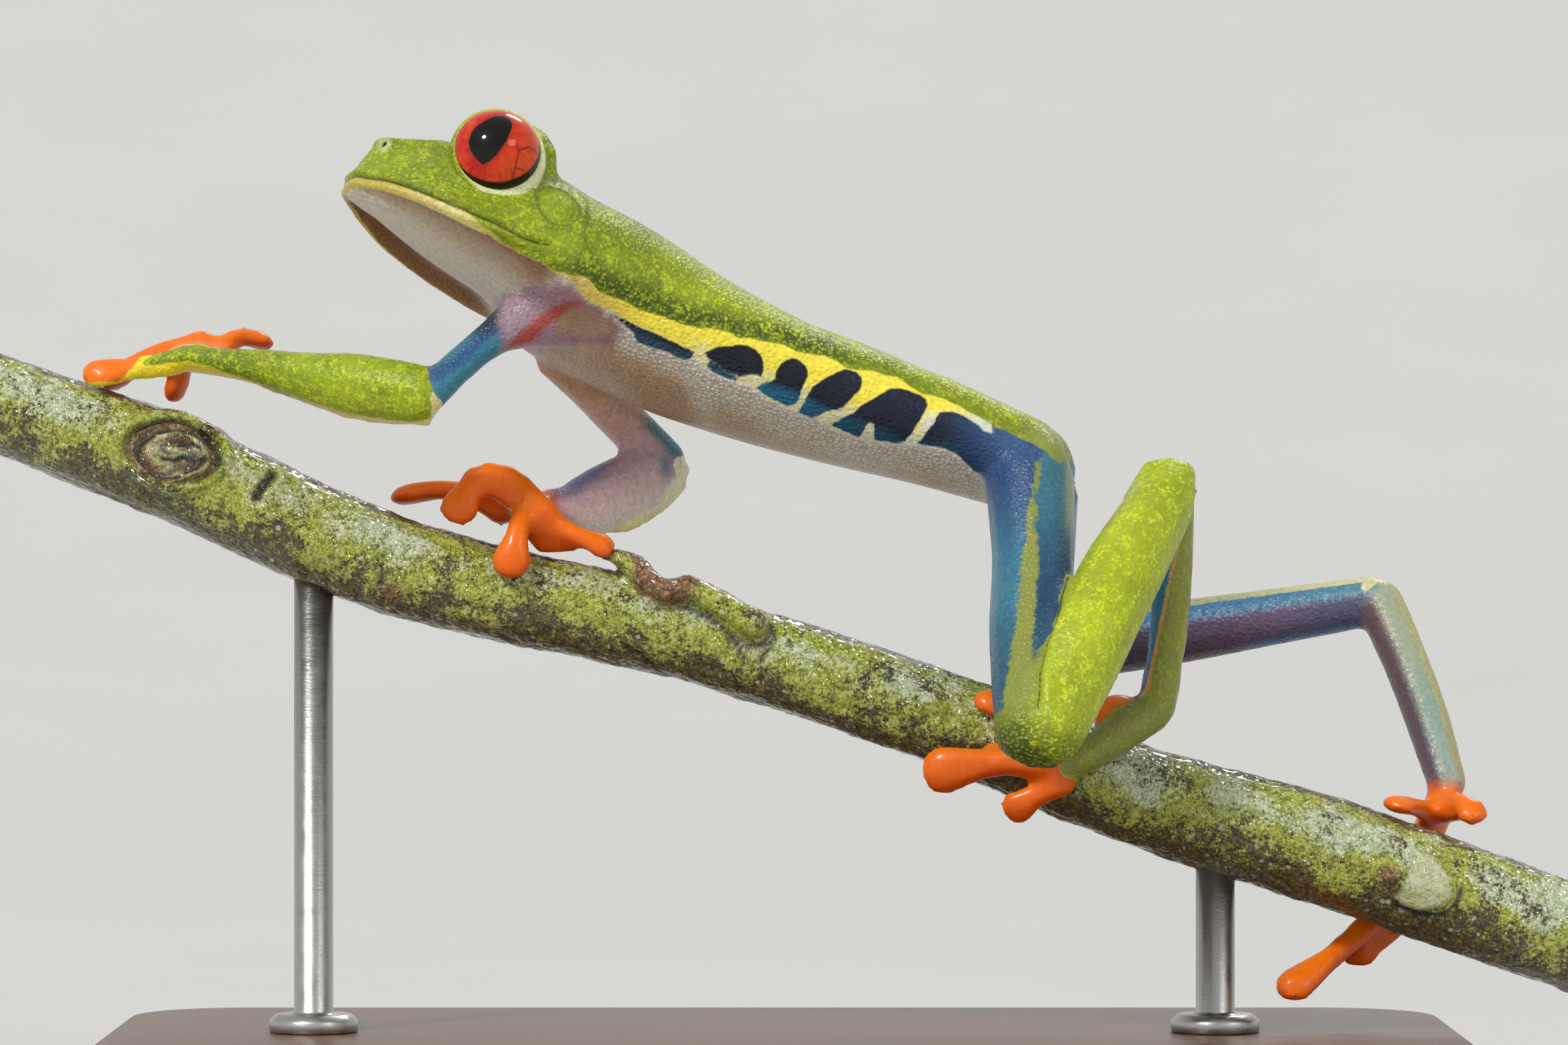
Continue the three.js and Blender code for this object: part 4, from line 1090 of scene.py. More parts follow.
def mossy_bark():
    """Wet, weathered bark: pale bark under yellow-green algae, with dark moss and sharp small lights. A paler
    band on the lit front is painted light; darker bark towards the top and bottom is partly painted shade,
    and the near-black in the hollows is painted shade.
    """
    made, put, mm = fresh("wet mossy bark")
    has = read_layers(put, {"bark": ("pale", "darkening", "wood"), "mark": ("hollow_shade", "brown", "scar")})
    grain = put("Attribute", out="Vector", attribute_name="along")
    moved = put("Mapping", {"Vector": mm, "Location": (31.0, 17.0, 5.0)})
    streak, patch, darkening, tuft, grit = (
        put("TexNoise", {"Vector": where, "Scale": scale, "Detail": detail, "Roughness": rough})
        for where, scale, detail, rough in (
            (grain, 1.0, 6, 0.7), (mm, 0.2, 5, 0.6), (moved, 0.26, 5, 0.68), (mm, 1.5, 5, 0.75),
            (moved, 4.2, 3, 0.7),
        )
    )
    crumb = put("TexVoronoi", {"Vector": mm, "Scale": 2.6})
    fleck = put("TexVoronoi", {"Vector": moved, "Scale": 0.95})
    mixer = put("Math MULTIPLY_ADD", grit, 0.9, -0.27)
    mixer = put("Math MULTIPLY_ADD", tuft, 0.8, mixer)
    # pale bark layer: the share read from the mesh adds painted light in a band on the lit front
    light = put("Math MULTIPLY_ADD", patch, 2.4, has["pale"])
    light = put("Math MULTIPLY_ADD", mixer, 1.0, light)
    light = put("MapRange SMOOTHSTEP", light, 2.25, 2.75)
    # dark moss layer: the share read from the mesh adds painted shade towards the top and bottom
    moss_and_shade = put("Math MULTIPLY_ADD", darkening, 2.6, has["darkening"])
    moss_and_shade = put("Math MULTIPLY_ADD", mixer, -1.1, moss_and_shade)
    moss_and_shade = put("MapRange SMOOTHSTEP", moss_and_shade, 0.8, 1.15)
    crust = put("Math MULTIPLY_ADD", darkening, 0.42, 0.02)
    crust = put("Math SUBTRACT", fleck, crust)
    crust = put("MapRange", crust, -0.06, -0.12, 0, 0.6)
    speck = put("MapRange", crumb, 0.2, 0.12, 0, 0.75)
    speck = put("Math MULTIPLY", speck, streak)
    # Algae below, then pale bark with painted light, moss with partly painted shade, brown, lichen, dark
    # specks, bare wood, scar and painted shade in the hollows.
    look = put("ValToRGB", mixer, stops=(
        (0.36, "43480B"), (0.47, "737914"), (0.56, "9BA224"), (0.66, "B9C044"), (0.78, "D2D67C"),
    ))
    for amount, layer in (
        (light, ((0.36, "6F7B4C"), (0.47, "9DAA76"), (0.56, "BAC597"), (0.66, "D2DAB8"), (0.78, "E8ECDA"))),
        (moss_and_shade, ((0.36, "140E03"), (0.48, "32290A"), (0.58, "544C12"), (0.68, "77701E"), (0.8, "96923A"))),
        (has["brown"], ((0.38, "2E1808"), (0.5, "5E3A1C"), (0.62, "8E6238"), (0.76, "B48C5C"))),
        (crust, "D6DCC6"),
        (speck, "1A1606"),
        (has["wood"], ((0.38, "8A7A4A"), (0.52, "C4BC8C"), (0.66, "E0DDBE"))),
        (has["scar"], ((0.38, "9A9E62"), (0.52, "BEC48C"), (0.68, "D6DAB4"))),
        # painted shade in the hollows, near black
        (has["hollow_shade"], "0A0604"),
    ):
        if not isinstance(layer, str):
            layer = put("ValToRGB", mixer, stops=layer)
        look = put("Mix", amount, look, layer)
    high = put("Math MULTIPLY_ADD", tuft, 0.8, streak)
    high = put("Math MULTIPLY_ADD", grit, 0.5, high)
    relief = put("Bump", {"Height": high, "Strength": 0.85, "Distance": 0.00045})
    beads = put("TexVoronoi SMOOTH_F1", {"Vector": mm, "Scale": 1.9, "Randomness": 1.0, "Smoothness": 0.35})
    beads = put("MapRange", beads, 0.55, 0.0)
    water = put("Bump", {"Height": beads, "Strength": 1.0, "Distance": 0.00016})
    wet = put("MapRange", patch, 0.35, 0.6, 0.62, 0.34)
    surface = put("BsdfPrincipled", {
        "Base Color": look, "Roughness": wet, "Normal": relief, "Coat Weight": 1.0, "Coat Roughness": 0.06,
        "Coat IOR": 1.45, "Coat Normal": water,
    })
    put("OutputMaterial", {"Surface": surface})
    return made


def oiled_walnut():
    """Planed and oiled walnut: long brown grain with darker rings and fine open pores."""
    made, put, mm = fresh("oiled walnut")
    long = put("Mapping", {"Vector": mm, "Scale": (0.035, 0.5, 0.5), "Rotation": (0.0, 0.05, 0.03)})
    rings = put("TexNoise", {
        "Vector": long, "Scale": 0.8, "Detail": 4.0, "Roughness": 0.55, "Distortion": 0.6,
    })
    bands = put("Math MULTIPLY", rings, 9.0)
    bands = put("Math FRACT", bands)
    bands = put("Math SUBTRACT", bands, 0.5)
    bands = put("Math ABSOLUTE", bands)
    pores = put("Mapping", {"Vector": mm, "Scale": (0.25, 5.0, 5.0)})
    pores = put("TexNoise", {"Vector": pores, "Scale": 1.0, "Detail": 3.0, "Roughness": 0.7})
    tone = put("Math MULTIPLY_ADD", pores, 0.45, bands)
    look = put("ValToRGB", tone, stops=(
        (0.12, "2A1710"), (0.3, "4A2C1C"), (0.5, "63402A"), (0.75, "7C543A"),
    ))
    relief = put("Bump", {"Height": pores, "Strength": 0.35, "Distance": 0.0001})
    sheen = put("MapRange", tone, 0.1, 0.7, 0.3, 0.42)
    surface = put("BsdfPrincipled", {
        "Base Color": look, "Roughness": sheen, "Normal": relief, "Coat Weight": 0.2, "Coat Roughness": 0.25,
    })
    put("OutputMaterial", {"Surface": surface})
    return made


def brushed_steel():
    """Turned and brushed stainless steel: fine rings round the rod blur its lights."""
    made, put, mm = fresh("brushed stainless steel")
    rings = put("Mapping", {"Vector": mm, "Scale": (0.4, 0.4, 14.0)})
    rings = put("TexNoise", {"Vector": rings, "Scale": 1.0, "Detail": 3.0, "Roughness": 0.8})
    rub = put("TexNoise", {"Vector": mm, "Scale": 0.6, "Detail": 3.0})
    matt = put("MapRange", rub, 0.3, 0.7, 0.24, 0.38)
    tone = put("Mix", rings, "A9A9A6", "C9C9C6")
    relief = put("Bump", {"Height": rings, "Strength": 0.3, "Distance": 0.00005})
    surface = put("BsdfPrincipled", {
        "Base Color": tone, "Metallic": 1.0, "Roughness": matt, "Normal": relief,
    })
    put("OutputMaterial", {"Surface": surface})
    return made


def seamless_paper():
    """Matt studio paper: even and pale, with the faintest cloudiness."""
    made, put, mm = fresh("matt seamless paper")
    cloud = put("TexNoise", {"Vector": mm, "Scale": 0.012, "Detail": 3.0})
    look = put("Mix", cloud, "CBCBC9", "D1D1CF")
    surface = put("BsdfPrincipled", {"Base Color": look, "Roughness": 0.92})
    put("OutputMaterial", {"Surface": surface})
    return made


# ---------------------------------------------------------------- sizes and colours


def measure(name, about, usual, least, most):
    return bpy.props.FloatProperty(
        name=name, description=about + ", in millimetres", default=usual, min=least, max=most
    )


def swatch(name, about, text):
    return bpy.props.FloatVectorProperty(
        name=name, description=about, default=tuple(colour(text)), size=3, subtype="COLOR", min=0, max=1
    )


class FrogSizes(bpy.types.PropertyGroup):
    """Sizes of the frog that a user may change"""

    skin_grid: measure("Skin grid", "Spacing of the skin's mesh", 0.388, 0.386, 0.8)
    granule: measure("Granule", "Width of a granule of the skin", 0.33, 0.2, 1.5)
    lid: measure("Lid", "Thickness of the lid below the eye", 0.55, 0.2, 0.8)


class FrogColours(bpy.types.PropertyGroup):
    """Colours of the frog that a user may change"""

    back_green: swatch("Back", "Leaf green of the head, back and arms", "A5B81A")
    deep_green: swatch("Back in depth", "Deeper green between the bright patches", "77880E")
    olive: swatch("Olive", "Olive of the legs' upper side", "868C40")
    speck_yellow: swatch("Specks", "Bright yellow specks on the green", "D0DA2A")
    iris_red: swatch("Iris", "Red of the eye", "C61604")
    iris_orange: swatch("Iris, behind", "Orange of the eye's rear half", "E24A0C")


# ---------------------------------------------------------------- skin and eyes


# Corners where the limbs bend, rounded a little more: place and how far it reaches.
SOFT_CORNERS = (
    ((-26.9, -10.2, 54.0), 3.4), ((-8.6, 10.2, 49.6), 3.0), ((20.8, -2.6, 49.6), 5.0),
    ((29.4, -5.5, 47.6), 2.4), ((47.2, 14.6, 39.2), 3.0), ((28.4, -3.0, 30.2), 2.6),
)


# How much the skin of the rump rises over the solids: along, rise.
RUMP_LIFT = (
    (2, 0), (8, 0.65), (10.5, 0.85), (12.5, 1.2), (15, 1.15), (18, 1.0), (20, 1.2), (22, 0.9), (24, 0),
)
# How far forward of the solids the left knee's skin lies: up, forward.
KNEE_FORWARD = ((25, 0.6), (26.5, 1.0), (31.6, 0.95), (36.9, 0.7), (42, 0))
FRINGE_WAY = np.array((0.64, 0, -0.77))  # the way the fringe of the right forearm points
FRINGE_OUT = 0.65


def digit_share(ends, owner, rounds):
    """1 on fingers and toes, fading out round them."""
    thin = np.array([n.startswith(("finger", "toe")) for n in FLESH])[owner].astype(float)
    return spread(ends, thin, rounds)


def smoothed(mesh, lid_below):
    """Takes the facets off the rough skin, cuts it finer on the head and lays it round the eyes.

    Gives the ends of its edges, its places and which node owns each.
    """
    ends, at = edge_ends(mesh), places(mesh)
    thin = digit_share(ends, nearest_nodes(at), 8)
    at = spread(ends, at, 4, 0.5 * thin)
    at = even_out(ends, at, 14, 0.6 * (1 - thin) + 0.4 * thin)
    set_places(mesh, at)
    back, off, up = head_places(at)
    finer(mesh, (back < 17.5) & (up > -3.5) & (np.abs(off) < 12))
    at = places(mesh)
    gap, _, reach = lid_gap(at)
    finer(mesh, (np.abs(gap) < 0.75) & (reach < 4.6) & (at[:, 1] < 0))
    ends, at = edge_ends(mesh), places(mesh)
    owner = nearest_nodes(at)
    at = even_out(ends, at, 5, 0.5 * step(head_places(at)[0], 19, 16))
    for spot, size in SOFT_CORNERS:
        near = step(np.linalg.norm(at - spot, axis=1), size, size * 0.4)
        at = spread(ends, at, 10, 0.5 * near)
    set_places(mesh, at)
    at = at - normals(mesh) * (GROWN - 0.1 * digit_share(ends, owner, 6))[:, None]
    at = fit_lids(at, lid_below)
    at = even_out(ends, at, 3, 0.5 * step(lid_gap(at)[2], 6.2, 5.2))
    set_places(mesh, at)
    return ends, at, owner


def claimed(owner, here, taker, giver):
    """The owners, once the taker has the giver's points that are here."""
    return np.where(here & (owner == FLESH.index(giver)), FLESH.index(taker), owner)


def fitted(ends, at, out, owner):
    """Moves rump, knee and forearm fringe to where they lie in life.

    Gives the places, their owners and the groove to carve between left thigh and shank.
    """
    x, z = side_view(at)
    lift = follow(x, RUMP_LIFT) * step(out[:, 2], 0.0, 0.7) * step(above(x, z, BACK_EDGE), -0.8, 0.8)
    at = at + np.array((0, 0, 1)) * lift[:, None]
    fringe = step(out @ FRINGE_WAY, 0.55, 0.95) * step(x, -14.5, -12.5) * step(z, 43, 44)
    fringe = fringe * step(z, 51, 49.8) * step(at[:, 1], 4, 6) * (x < -6)
    at = at + FRINGE_WAY * FRINGE_OUT * fringe[:, None]
    fold = thigh_fold(at, out)
    owner = claimed(owner, fold < 0, "thigh_left", "shank_left")
    owner = claimed(owner, (fold >= 0) & (fold < 3), "shank_left", "thigh_left")
    owner = claimed(owner, x > follow(z, FAR_WRIST), "forearm_right", "hand_right")
    knee = follow(z, KNEE_FORWARD) * step(x, 19.8, 17.6)
    knee = knee * np.isin(owner, (FLESH.index("thigh_left"), FLESH.index("shank_left")))
    at = at - np.array((1, 0, 0)) * spread(ends, knee, 4)[:, None]
    depth = 0.3 * bump(fold, 0.75, 0.4) - 0.45 * bump(fold, 0, 0.28)
    depth = depth * step(z, 30.8, 32) * step(z, 40, 37)
    return at, owner, out * depth[:, None]


class FrogSkin(bpy.types.Operator):
    """Builds the frog's one continuous skin over the flesh nodes"""

    bl_idname = "frog.skin"
    bl_label = "Skin"

    def execute(self, context):
        sizes = context.scene.frog_sizes
        skin = rough_skin(sizes.skin_grid)
        mesh = skin.data
        ends, at, owner = smoothed(mesh, sizes.lid)
        out = normals(mesh)
        at, owner, groove = fitted(ends, at, out, owner)
        carved = at + groove
        set_places(mesh, fit_lids(carved + carve_head(carved, out), sizes.lid))
        paint(mesh, owner, at, out)
        mesh.materials.append(moist_skin(context.scene.frog_colours, sizes))
        finish_piece(skin, "back_skin", *FLESH)
        return {"FINISHED"}


# Outline of the pupil on the ball: forward and up from the middle of the gaze, in millimetres.
PUPIL = (
    (2.3, -1.2), (2.45, -0.4), (2.25, 0.4), (1.45, 1.8), (0.9, 2.15), (0.42, 2.13), (0, 1.85),
    (-0.22, 1.43), (-0.42, 0.11), (-0.32, -1.33), (-0.05, -2.0), (0.29, -2.49), (1.15, -2.21),
    (1.83, -1.84),
)


# Fine vessels on the iris, each from one such place to another.
VEINS = (
    ((-2.5, -2.3), (-2.1, -1.3)), ((-2.1, -1.3), (-1.6, 0)), ((-1.6, 0), (-2.2, 0.9)),
    ((-2.2, 0.9), (-3.1, 1.2)), ((-1.6, 0), (-1.1, 0.3)), ((-2.1, -1.3), (-2.9, -1.0)),
)
VEIN_HALF = 0.3
FIBRES_FROM = 0.9  # the fibres of the iris run out from this far forward of its middle


def eye_layers(local):
    """Iris, fibres and vessels at points of the ball, told along gaze, forward and up with a radius of 1."""
    tilt = np.arccos(np.clip(local[:, 0], -1, 1))
    flat = local[:, 1:] / np.maximum(np.linalg.norm(local[:, 1:], axis=1), 1e-6)[:, None]
    forward, up = (flat * (tilt * EYE_RADIUS)[:, None]).T
    pupil = inside(forward, up, PUPIL)
    toward = flat @ (math.cos(LID_WAY), math.sin(LID_WAY))
    rim = (LID_TILT - tilt) * EYE_RADIUS + 0.28 - 0.72 * np.clip(toward, -0.35, 1)
    around, far = np.arctan2(up, forward - FIBRES_FROM), np.hypot(up, forward - FIBRES_FROM)
    vein = np.max([1 - from_line(forward, up, a, b) / VEIN_HALF for a, b in VEINS], axis=0)
    return {
        "iris": (np.clip(pupil, -3, 1), np.clip(rim, -1, 3), step(forward, 1.5, -3.0)),
        "fibre": (np.cos(around) * 2.2, np.sin(around) * 2.2, far * 0.12),
        "vein": (np.clip(vein, 0, 1), vein * 0, vein * 0),
    }


class FrogEyes(bpy.types.Operator):
    """Builds the two eyes as glossy balls with a painted iris and pupil"""

    bl_idname = "frog.eyes"
    bl_label = "Eyes"

    def execute(self, context):
        cover = wet_eye(context.scene.frog_colours)
        for side, node in ((1, "eye_left"), (-1, "eye_right")):
            axes, middle = eye_axes(side)
            turn = Matrix(axes[[1, 2, 0]].T.tolist()).to_4x4()
            if turn.determinant() < 0:
                turn = turn @ Matrix.Scale(-1, 4, (1, 0, 0))
            place = Matrix.Translation(Vector(middle) * MM) @ turn
            made = bmesh.new()
            bmesh.ops.create_uvsphere(
                made, u_segments=192, v_segments=128, radius=EYE_RADIUS * MM, matrix=place
            )
            bmesh.ops.recalc_face_normals(made, faces=made.faces)
            mesh = mesh_from(made, node + "_ball")
            set_layers(mesh, **eye_layers((places(mesh) - middle) @ axes.T / EYE_RADIUS))
            mesh.materials.append(cover)
            finish_piece(new_object(mesh.name, mesh), "eye", node)
        return {"FINISHED"}


# ---------------------------------------------------------------- branch and stand

BARK_GRID = 0.32
BRANCH_SLOPE = 1.06  # length along the branch for each millimetre along X
TWIG_BALLS = 76
# Along the branch: x, height of its middle and radius.
BRANCH = np.array((
    (-62, 54.85, 3.65), (-46.8, 49.15, 4.0), (-30, 41.7, 3.8), (-7.2, 36.3, 3.5),
    (12, 30.1, 3.6), (27, 24.1, 3.9), (42, 19.7, 4.2), (62, 12.6, 4.1),
))


# The dead twig on top of it: place and radius, from its free tip to the leaf scar.
TWIG = np.array((
    (-14.6, -0.8, 42.8, 0.35), (-13.4, -0.8, 42.55, 0.5), (-12.3, -0.9, 42.3, 0.6),
    (-11.2, -1.0, 41.95, 0.6), (-10.6, -1.6, 41.3, 0.68), (-10.3, -2.7, 40.6, 0.92),
    (-9.6, -3.1, 40.1, 0.9), (-8.7, -3.2, 39.8, 0.95), (-7.9, -2.9, 39.9, 0.9), (-7.3, -2.7, 40.15, 1.05),
    (-6.7, -2.8, 39.75, 0.95), (-5.6, -3.0, 39.15, 0.92), (-4.4, -3.1, 38.55, 1.0),
    (-3.4, -3.3, 37.95, 1.08), (-2.6, -3.5, 37.5, 1.22), (-2.2, -3.5, 37.2, 1.12),
))
KNOT = (-46.8, 50.4, 3.75, 2.45)  # along, up and half its width and height
KNOT_LUMPS = ((-47.6, 50.6, 0.8), (-45.3, 50.4, 0.75), (-46.9, 49.1, 0.7))  # along, up and size
STUB = (46.3, 18.1)
RUST = (-30.2, 39.9)
# Cracks in the bark, as seen square on from the left, with their half widths.
CRACKS = (
    (((-5.7, 37.9), (-4.6, 36.9), (-3.6, 35.6), (-2.9, 34.3)), 0.15),
    (((-0.9, 35.4), (-1.7, 34.7), (-2.0, 33.8), (-1.7, 33)), 0.09),
    (((-12.1, 35.4), (-11.1, 35), (-10.2, 34.2), (-9.6, 33.7)), 0.09),
    (((4.5, 32.7), (5.8, 32.9), (6.8, 33.7), (7.9, 34.2)), 0.09),
    (((-39.2, 48.6), (-39.7, 48), (-40.4, 47)), 0.34),
    (((-46.3, 51.0), (-45.4, 51.05), (-44.7, 50.7)), 0.12),
    (((-47.6, 49.9), (-46.7, 49.75), (-45.9, 50.1), (-45.2, 49.7), (-44.4, 49.9)), 0.16),
    (((-45.8, 48.9), (-45, 49.1), (-44.2, 49.8)), 0.17),
    (((-48.9, 49.2), (-49.5, 50.1), (-49.1, 51.1), (-48.2, 51.7)), 0.15),
    (((-48, 51.9), (-46.5, 52.05), (-45, 51.7), (-44, 51.1)), 0.12),
    (((-48.6, 48.9), (-47.6, 48.5), (-46.3, 48.5)), 0.15),
    (((-31.2, 42.2), (-30.6, 41.2), (-30.9, 40.3)), 0.16),
    (((46.9, 15.6), (48.4, 14.9), (50.4, 15), (51.6, 15.9), (51.7, 17)), 0.16),
)
SCAR = (
    (47.3, 17.0), (47.9, 18.6), (48.6, 19.7), (49.6, 19.4), (50.8, 18), (51.2, 16.6), (50.2, 15.6),
    (48.6, 15.3), (47.2, 15.6), (46.8, 16.3),
)


def branch_places(at):
    """How far along the branch each point lies, and the turn round it: 0 on top, a quarter towards -Y."""
    x, height, _ = BRANCH.T
    lean = np.interp(at[:, 0], x, np.gradient(height, x))
    up = (at[:, 2] - np.interp(at[:, 0], x, height)) / np.sqrt(1 + lean ** 2)
    return at[:, 0] * BRANCH_SLOPE, np.arctan2(-at[:, 1], up)


def knot_reach(at):
    """Distance from the middle of the knot, 1 at its rim, and where round it: 0 right, 90 degrees up."""
    x, z = side_view(at)
    dx, dz = x - KNOT[0], z - KNOT[1] + 0.08 * (x - KNOT[0])
    far = np.where(at[:, 1] < 0, np.hypot(dx / KNOT[2], dz / KNOT[3]), 9)
    return far, np.degrees(np.arctan2(dz / KNOT[3], dx / KNOT[2]))


def from_twig(at):
    """How far each point lies off the twig's skin, and where along it: 0 at its free tip, 1 at the scar."""
    close, along = np.full(len(at), 9.0), np.zeros(len(at))
    for i, (a, b) in enumerate(zip(TWIG, TWIG[1:])):
        way = (b - a)[:3]
        part = np.clip((at - a[:3]) @ way / (way @ way), 0, 1)
        away = np.linalg.norm(at - a[:3] - part[:, None] * way, axis=1) - (a[3] + part * (b - a)[3])
        along = np.where(away < close, (i + part) / (len(TWIG) - 1), along)
        close = np.minimum(close, away)
    return close, along


def bark_marks(at):
    """What knot, cracks, scar, stub and twig do to the bark.

    Gives rise, bare wood, painted shade for the hollows, brown and scar, and where the twig is.
    """
    x, z = side_view(at)
    front = step(at[:, 1], 1.0, -0.5)
    far, around = knot_reach(at)
    top = 0.45 + 0.55 * step(np.cos(np.radians(around - 60)), -0.4, 0.5)
    in_knot = step(far, 0.95, 0.8)
    curl = np.sin(far * 11 + 1.6 * lumps(at, 1.3, 5) + np.radians(around)) * in_knot
    rise = 0.4 * bump(far, 1.13, 0.13) - 0.55 * bump(far, 0.97, 0.07) * top
    rise = rise - 0.2 * step(far, 1, 0.8) + 0.2 * curl
    # painted shade in the knot's groove, most on its upper side, and in the troughs of its curls
    hollow_shade = bump(far, 0.97, 0.06) * top + 0.75 * step(curl, -0.55, -0.9)
    wood = 0.45 * step(curl, 0.45, 0.9) * in_knot
    for cx, cz, size in KNOT_LUMPS:
        spot = bump(np.hypot(x - cx, (z - cz) * 1.7), 0, size) * front
        rise += 0.25 * spot
        wood = np.maximum(wood, 0.75 * spot)
    for line, half in CRACKS:
        away = np.minimum.reduce([from_line(x, z, a, b) for a, b in zip(line, line[1:])])
        slit = bump(away, 0, half) * front
        rise += -0.9 * half * slit + 0.25 * half * bump(away, 2.2 * half, half) * front
        # painted shade down each crack
        hollow_shade = np.maximum(hollow_shade, np.minimum(1.7 * slit, 1))
        wood = np.maximum(wood, 0.5 * bump(away, 2.2 * half, 0.6 * half) * front * (half > 0.3))
    scar = step(inside(x, z, SCAR), -0.1, 0.15) * front
    stub = bump(np.hypot(x - STUB[0], (z - STUB[1]) * 1.2), 0, 0.95) * front
    rust = bump(np.hypot(x - RUST[0], z - RUST[1]), 0, 0.9) * front
    rise += 0.28 * scar
    rise += 0.5 * stub
    brown = np.maximum.reduce((0.9 * step(far, 1.02, 0.9) * front, 0.9 * step(stub, 0.25, 0.6), 0.8 * rust))
    close, along = from_twig(at)
    on_twig = step(close, 0.3 + 0.5 * step(along, 0.4, 0.3), 0.05)
    brown = np.maximum(brown, on_twig * (1 - step(along, 0.6, 0.72)))
    torn = on_twig * step(along, 0.93, 0.98) * step(lumps(at, 0.6, 9), 0.0, 0.3)
    wood = np.maximum(wood, 0.6 * torn)
    # painted shadow along the line where the twig lies on the bark
    hollow_shade = np.maximum(hollow_shade, 0.85 * bump(close, 0.45, 0.25) * step(along, 0.3, 0.6))
    return rise, wood, hollow_shade, brown * (1 - wood), scar, on_twig


class FrogBranch(bpy.types.Operator):
    """Builds the bark of the branch over the CAD branch, with its knot, cracks and dead twig"""

    bl_idname = "frog.branch"
    bl_label = "Branch"

    def execute(self, context):
        made = bmesh.new()
        bare = grown("perch", 0.0)
        made.from_mesh(bare)
        bpy.data.meshes.remove(bare)
        ticks = np.linspace(0, len(TWIG) - 1, TWIG_BALLS)
        add_balls(made, np.stack([np.interp(ticks, range(len(TWIG)), column) for column in TWIG.T], 1), 2)
        branch = new_object("branch", mesh_from(made, "branch"))
        mesh = remeshed(branch, BARK_GRID)
        at = even_out(edge_ends(mesh), places(mesh), 10, 0.6)
        set_places(mesh, at)
        finer(mesh, knot_reach(at)[0] < 1.35)
        at = even_out(edge_ends(mesh), places(mesh), 3, 0.5)
        set_places(mesh, at)
        out = normals(mesh)
        along, turn = branch_places(at)
        sides = np.stack([along / 4.5, np.cos(turn) * 3.2, np.sin(turn) * 3.2], 1)
        relief = 0.16 * lumps(sides, 1.1, 3) + 0.12 * lumps(at, 2.6, 7) + 0.09 * lumps(at, 0.8, 11)
        rise, wood, hollow_shade, brown, scar, on_twig = bark_marks(at)
        set_places(mesh, at + out * (relief * (1 - 0.5 * on_twig) + rise)[:, None])
        turned = np.abs(np.degrees(turn))
        # paler in a band about 62 degrees round from the top, on the lit front and mirrored behind, and less
        # pale lower down: painted light over the pale bark
        pale = 0.75 * bump(turned, 62, 36) - 0.5 * step(turned, 95, 130) - 0.5 * on_twig
        # dark moss laid more towards the bottom and along the top: partly painted shade
        darkening = 0.42 * step(turned, 84, 118) + 0.6 * step(turned, 122, 160)
        darkening = darkening + 0.75 * step(turned, 34, 10) * (1 - on_twig)
        set_layers(
            mesh,
            bark=(pale, darkening, wood),
            mark=(hollow_shade, brown, scar),
            along=(along * 0.5, np.cos(turn) * 5, np.sin(turn) * 5),
        )
        mesh.materials.append(mossy_bark())
        finish_piece(branch, "bark", "perch")
        return {"FINISHED"}


BASE_CORNER, BASE_EDGE = 9, 0.8  # radius of the base's corners and of its edges
RODS = {"front": -36.0, "back": 33.0}
ROD_RADIUS = 1.5
INTO_BRANCH = 1.2  # the rods end this far inside the branch
FOOT_GAP = 0.02  # and stand this far over the base
# Outline of a rod's foot: radius, and height over the base.
ROD_FOOT = (
    (0, 0), (3.3, 0), (3.4, 0.1), (3.4, 0.85), (3.3, 1.0), (2.9, 1.35), (2.75, 1.4), (1.7, 1.4), (1.5, 1.6),
)


def turned(profile, steps, along=0.0, unit=MM):
    """A bmesh turned round an upright axis from its profile of radius and height."""
    made = bmesh.new()
    line = [made.verts.new(Vector((along + r, 0, z)) * unit) for r, z in profile]
    path = [made.edges.new(pair) for pair in zip(line, line[1:])]
    bmesh.ops.spin(
        made, geom=line + path, cent=(along * unit, 0, 0), axis=(0, 0, 1), angle=2 * math.pi,
        steps=steps, use_merge=True,
    )
    bmesh.ops.remove_doubles(made, verts=made.verts, dist=1e-6)
    bmesh.ops.recalc_face_normals(made, faces=made.faces)
    return made


def rounded(made, edges, radius, segments):
    bmesh.ops.bevel(
        made, geom=edges, offset=radius * MM, segments=segments, profile=0.5, affect="EDGES", material=-1
    )


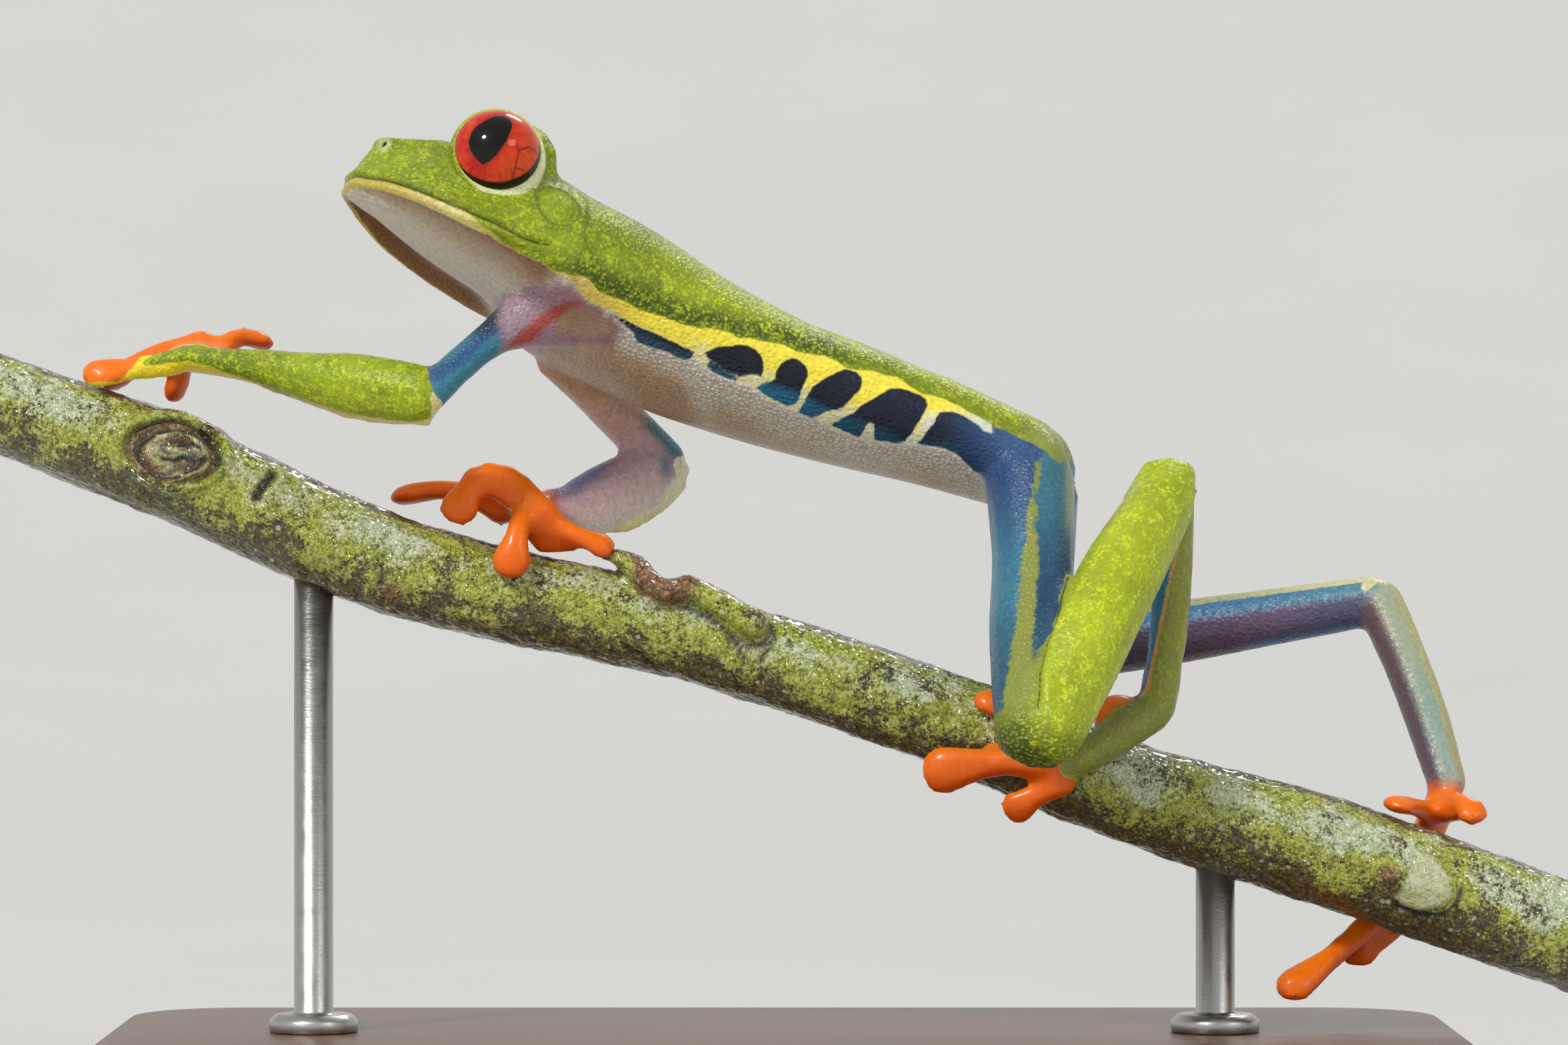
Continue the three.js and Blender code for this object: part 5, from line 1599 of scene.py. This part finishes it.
class FrogStand(bpy.types.Operator):
    """Builds the wooden base and the two steel rods"""

    bl_idname = "frog.stand"
    bl_label = "Stand"

    def execute(self, context):
        low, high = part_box("stand_base")
        made = bmesh.new()
        whole = Matrix.Translation((low + high) / 2) @ Matrix.Diagonal((*(high - low), 1))
        bmesh.ops.create_cube(made, size=1, matrix=whole)
        rise = {e: abs(e.verts[0].co.z - e.verts[1].co.z) for e in made.edges}
        rounded(made, [e for e in made.edges if rise[e] > 1 * MM], BASE_CORNER, 14)
        flat = [e for e in made.edges if abs(e.verts[0].co.z - e.verts[1].co.z) < 1e-6]
        rims = [e for e in flat if abs(e.link_faces[0].normal.z - e.link_faces[1].normal.z) > 0.5]
        rounded(made, rims, BASE_EDGE, 4)
        mesh = mesh_from(made, "base_plate")
        mesh.materials.append(oiled_walnut())
        finish_piece(new_object(mesh.name, mesh), "base_wood", "stand_base")
        steel = brushed_steel()
        floor = high.z / MM + FOOT_GAP
        for name, x in RODS.items():
            top = float(np.interp(x, BRANCH[:, 0], BRANCH[:, 1] - BRANCH[:, 2])) + INTO_BRANCH
            profile = [(r, floor + z) for r, z in ROD_FOOT] + [(ROD_RADIUS, top), (0, top)]
            mesh = mesh_from(turned(profile, 48, x), "rod_" + name)
            mesh.materials.append(steel)
            finish_piece(new_object(mesh.name, mesh), "rod_steel", "stand_rod_" + name)
        return {"FINISHED"}


# In metres from here on. The floor is flat this far out, and then bends up with this radius.
FLOOR_FLAT, FLOOR_BEND = 0.3, 1.6
# Soft lamps: name, place, width, and power in watts.
LAMPS = (
    ("key", (-1.5, -2.0, 2.5), 0.5, 75), ("fill", (2.4, -2.2, 1.8), 1.4, 22),
    ("rim", (0.8, 2.4, 2.2), 0.9, 14),
)
LOOK_AT = Vector((0, 0, VIEW_UP * MM))


class FrogStage(bpy.types.Operator):
    """Sets the pale floor, the soft lights and the camera"""

    bl_idname = "frog.stage"
    bl_label = "Stage"

    def execute(self, context):
        scene = context.scene
        scene.view_settings.view_transform = "Standard"
        turns = [math.radians(a) for a in range(0, 61, 4)]
        bend = [(FLOOR_FLAT + FLOOR_BEND * math.sin(t), FLOOR_BEND - FLOOR_BEND * math.cos(t)) for t in turns]
        made = turned([(0, 0), *bend], 96, unit=1)
        if sum(f.normal.z for f in made.faces) < 0:
            bmesh.ops.reverse_faces(made, faces=made.faces)
        mesh = mesh_from(made, "floor")
        mesh.materials.append(seamless_paper())
        mesh.shade_smooth()
        new_object("floor", mesh)
        scene.world = bpy.data.worlds.new("studio")
        scene.world.use_nodes = True
        sky = scene.world.node_tree.nodes["Background"].inputs
        sky["Color"].default_value = (1, 0.99, 0.97, 1)
        sky["Strength"].default_value = 0.5
        for name, place, width, power in LAMPS:
            lamp = bpy.data.lights.new(name, "AREA")
            lamp.shape, lamp.size, lamp.energy = "DISK", width, power
            light = new_object(name, lamp)
            light.location = place
            light.rotation_euler = (LOOK_AT - light.location).to_track_quat("-Z", "Y").to_euler()
        eye = bpy.data.cameras.new("camera")
        eye.lens, eye.sensor_width = 150, 36
        eye.clip_start, eye.clip_end = 0.01, 20
        camera = new_object("camera", eye)
        camera.location = LOOK_AT - Vector((0, VIEW_AWAY * MM, 0))
        camera.rotation_euler = (math.pi / 2, 0, 0)
        scene.camera = camera
        return {"FINISHED"}


class FrogPanel(bpy.types.Panel):
    """Lists the frog's pieces, sizes and colours"""

    bl_idname = "VIEW3D_PT_frog"
    bl_label = "Tree frog"
    bl_space_type = "VIEW_3D"
    bl_region_type = "UI"
    bl_category = "Tree frog"

    def draw(self, context):
        for made in PIECES:
            self.layout.operator(made.bl_idname)
        for group in (context.scene.frog_sizes, context.scene.frog_colours):
            box = self.layout.box()
            for name in group.__annotations__:
                box.prop(group, name)


PIECES = (FrogSkin, FrogEyes, FrogBranch, FrogStand, FrogStage)
CLASSES = (FrogSizes, FrogColours, *PIECES, FrogPanel)


def register():
    for made in CLASSES:
        bpy.utils.register_class(made)
    bpy.types.Scene.frog_sizes = bpy.props.PointerProperty(type=FrogSizes)
    bpy.types.Scene.frog_colours = bpy.props.PointerProperty(type=FrogColours)


def unregister():
    del bpy.types.Scene.frog_colours
    del bpy.types.Scene.frog_sizes
    for made in reversed(CLASSES):
        bpy.utils.unregister_class(made)


def main():
    register()
    bpy.ops.frog.skin()
    bpy.ops.frog.eyes()
    bpy.ops.frog.branch()
    bpy.ops.frog.stand()
    bpy.ops.frog.stage()


if __name__ == "__main__":
    main()
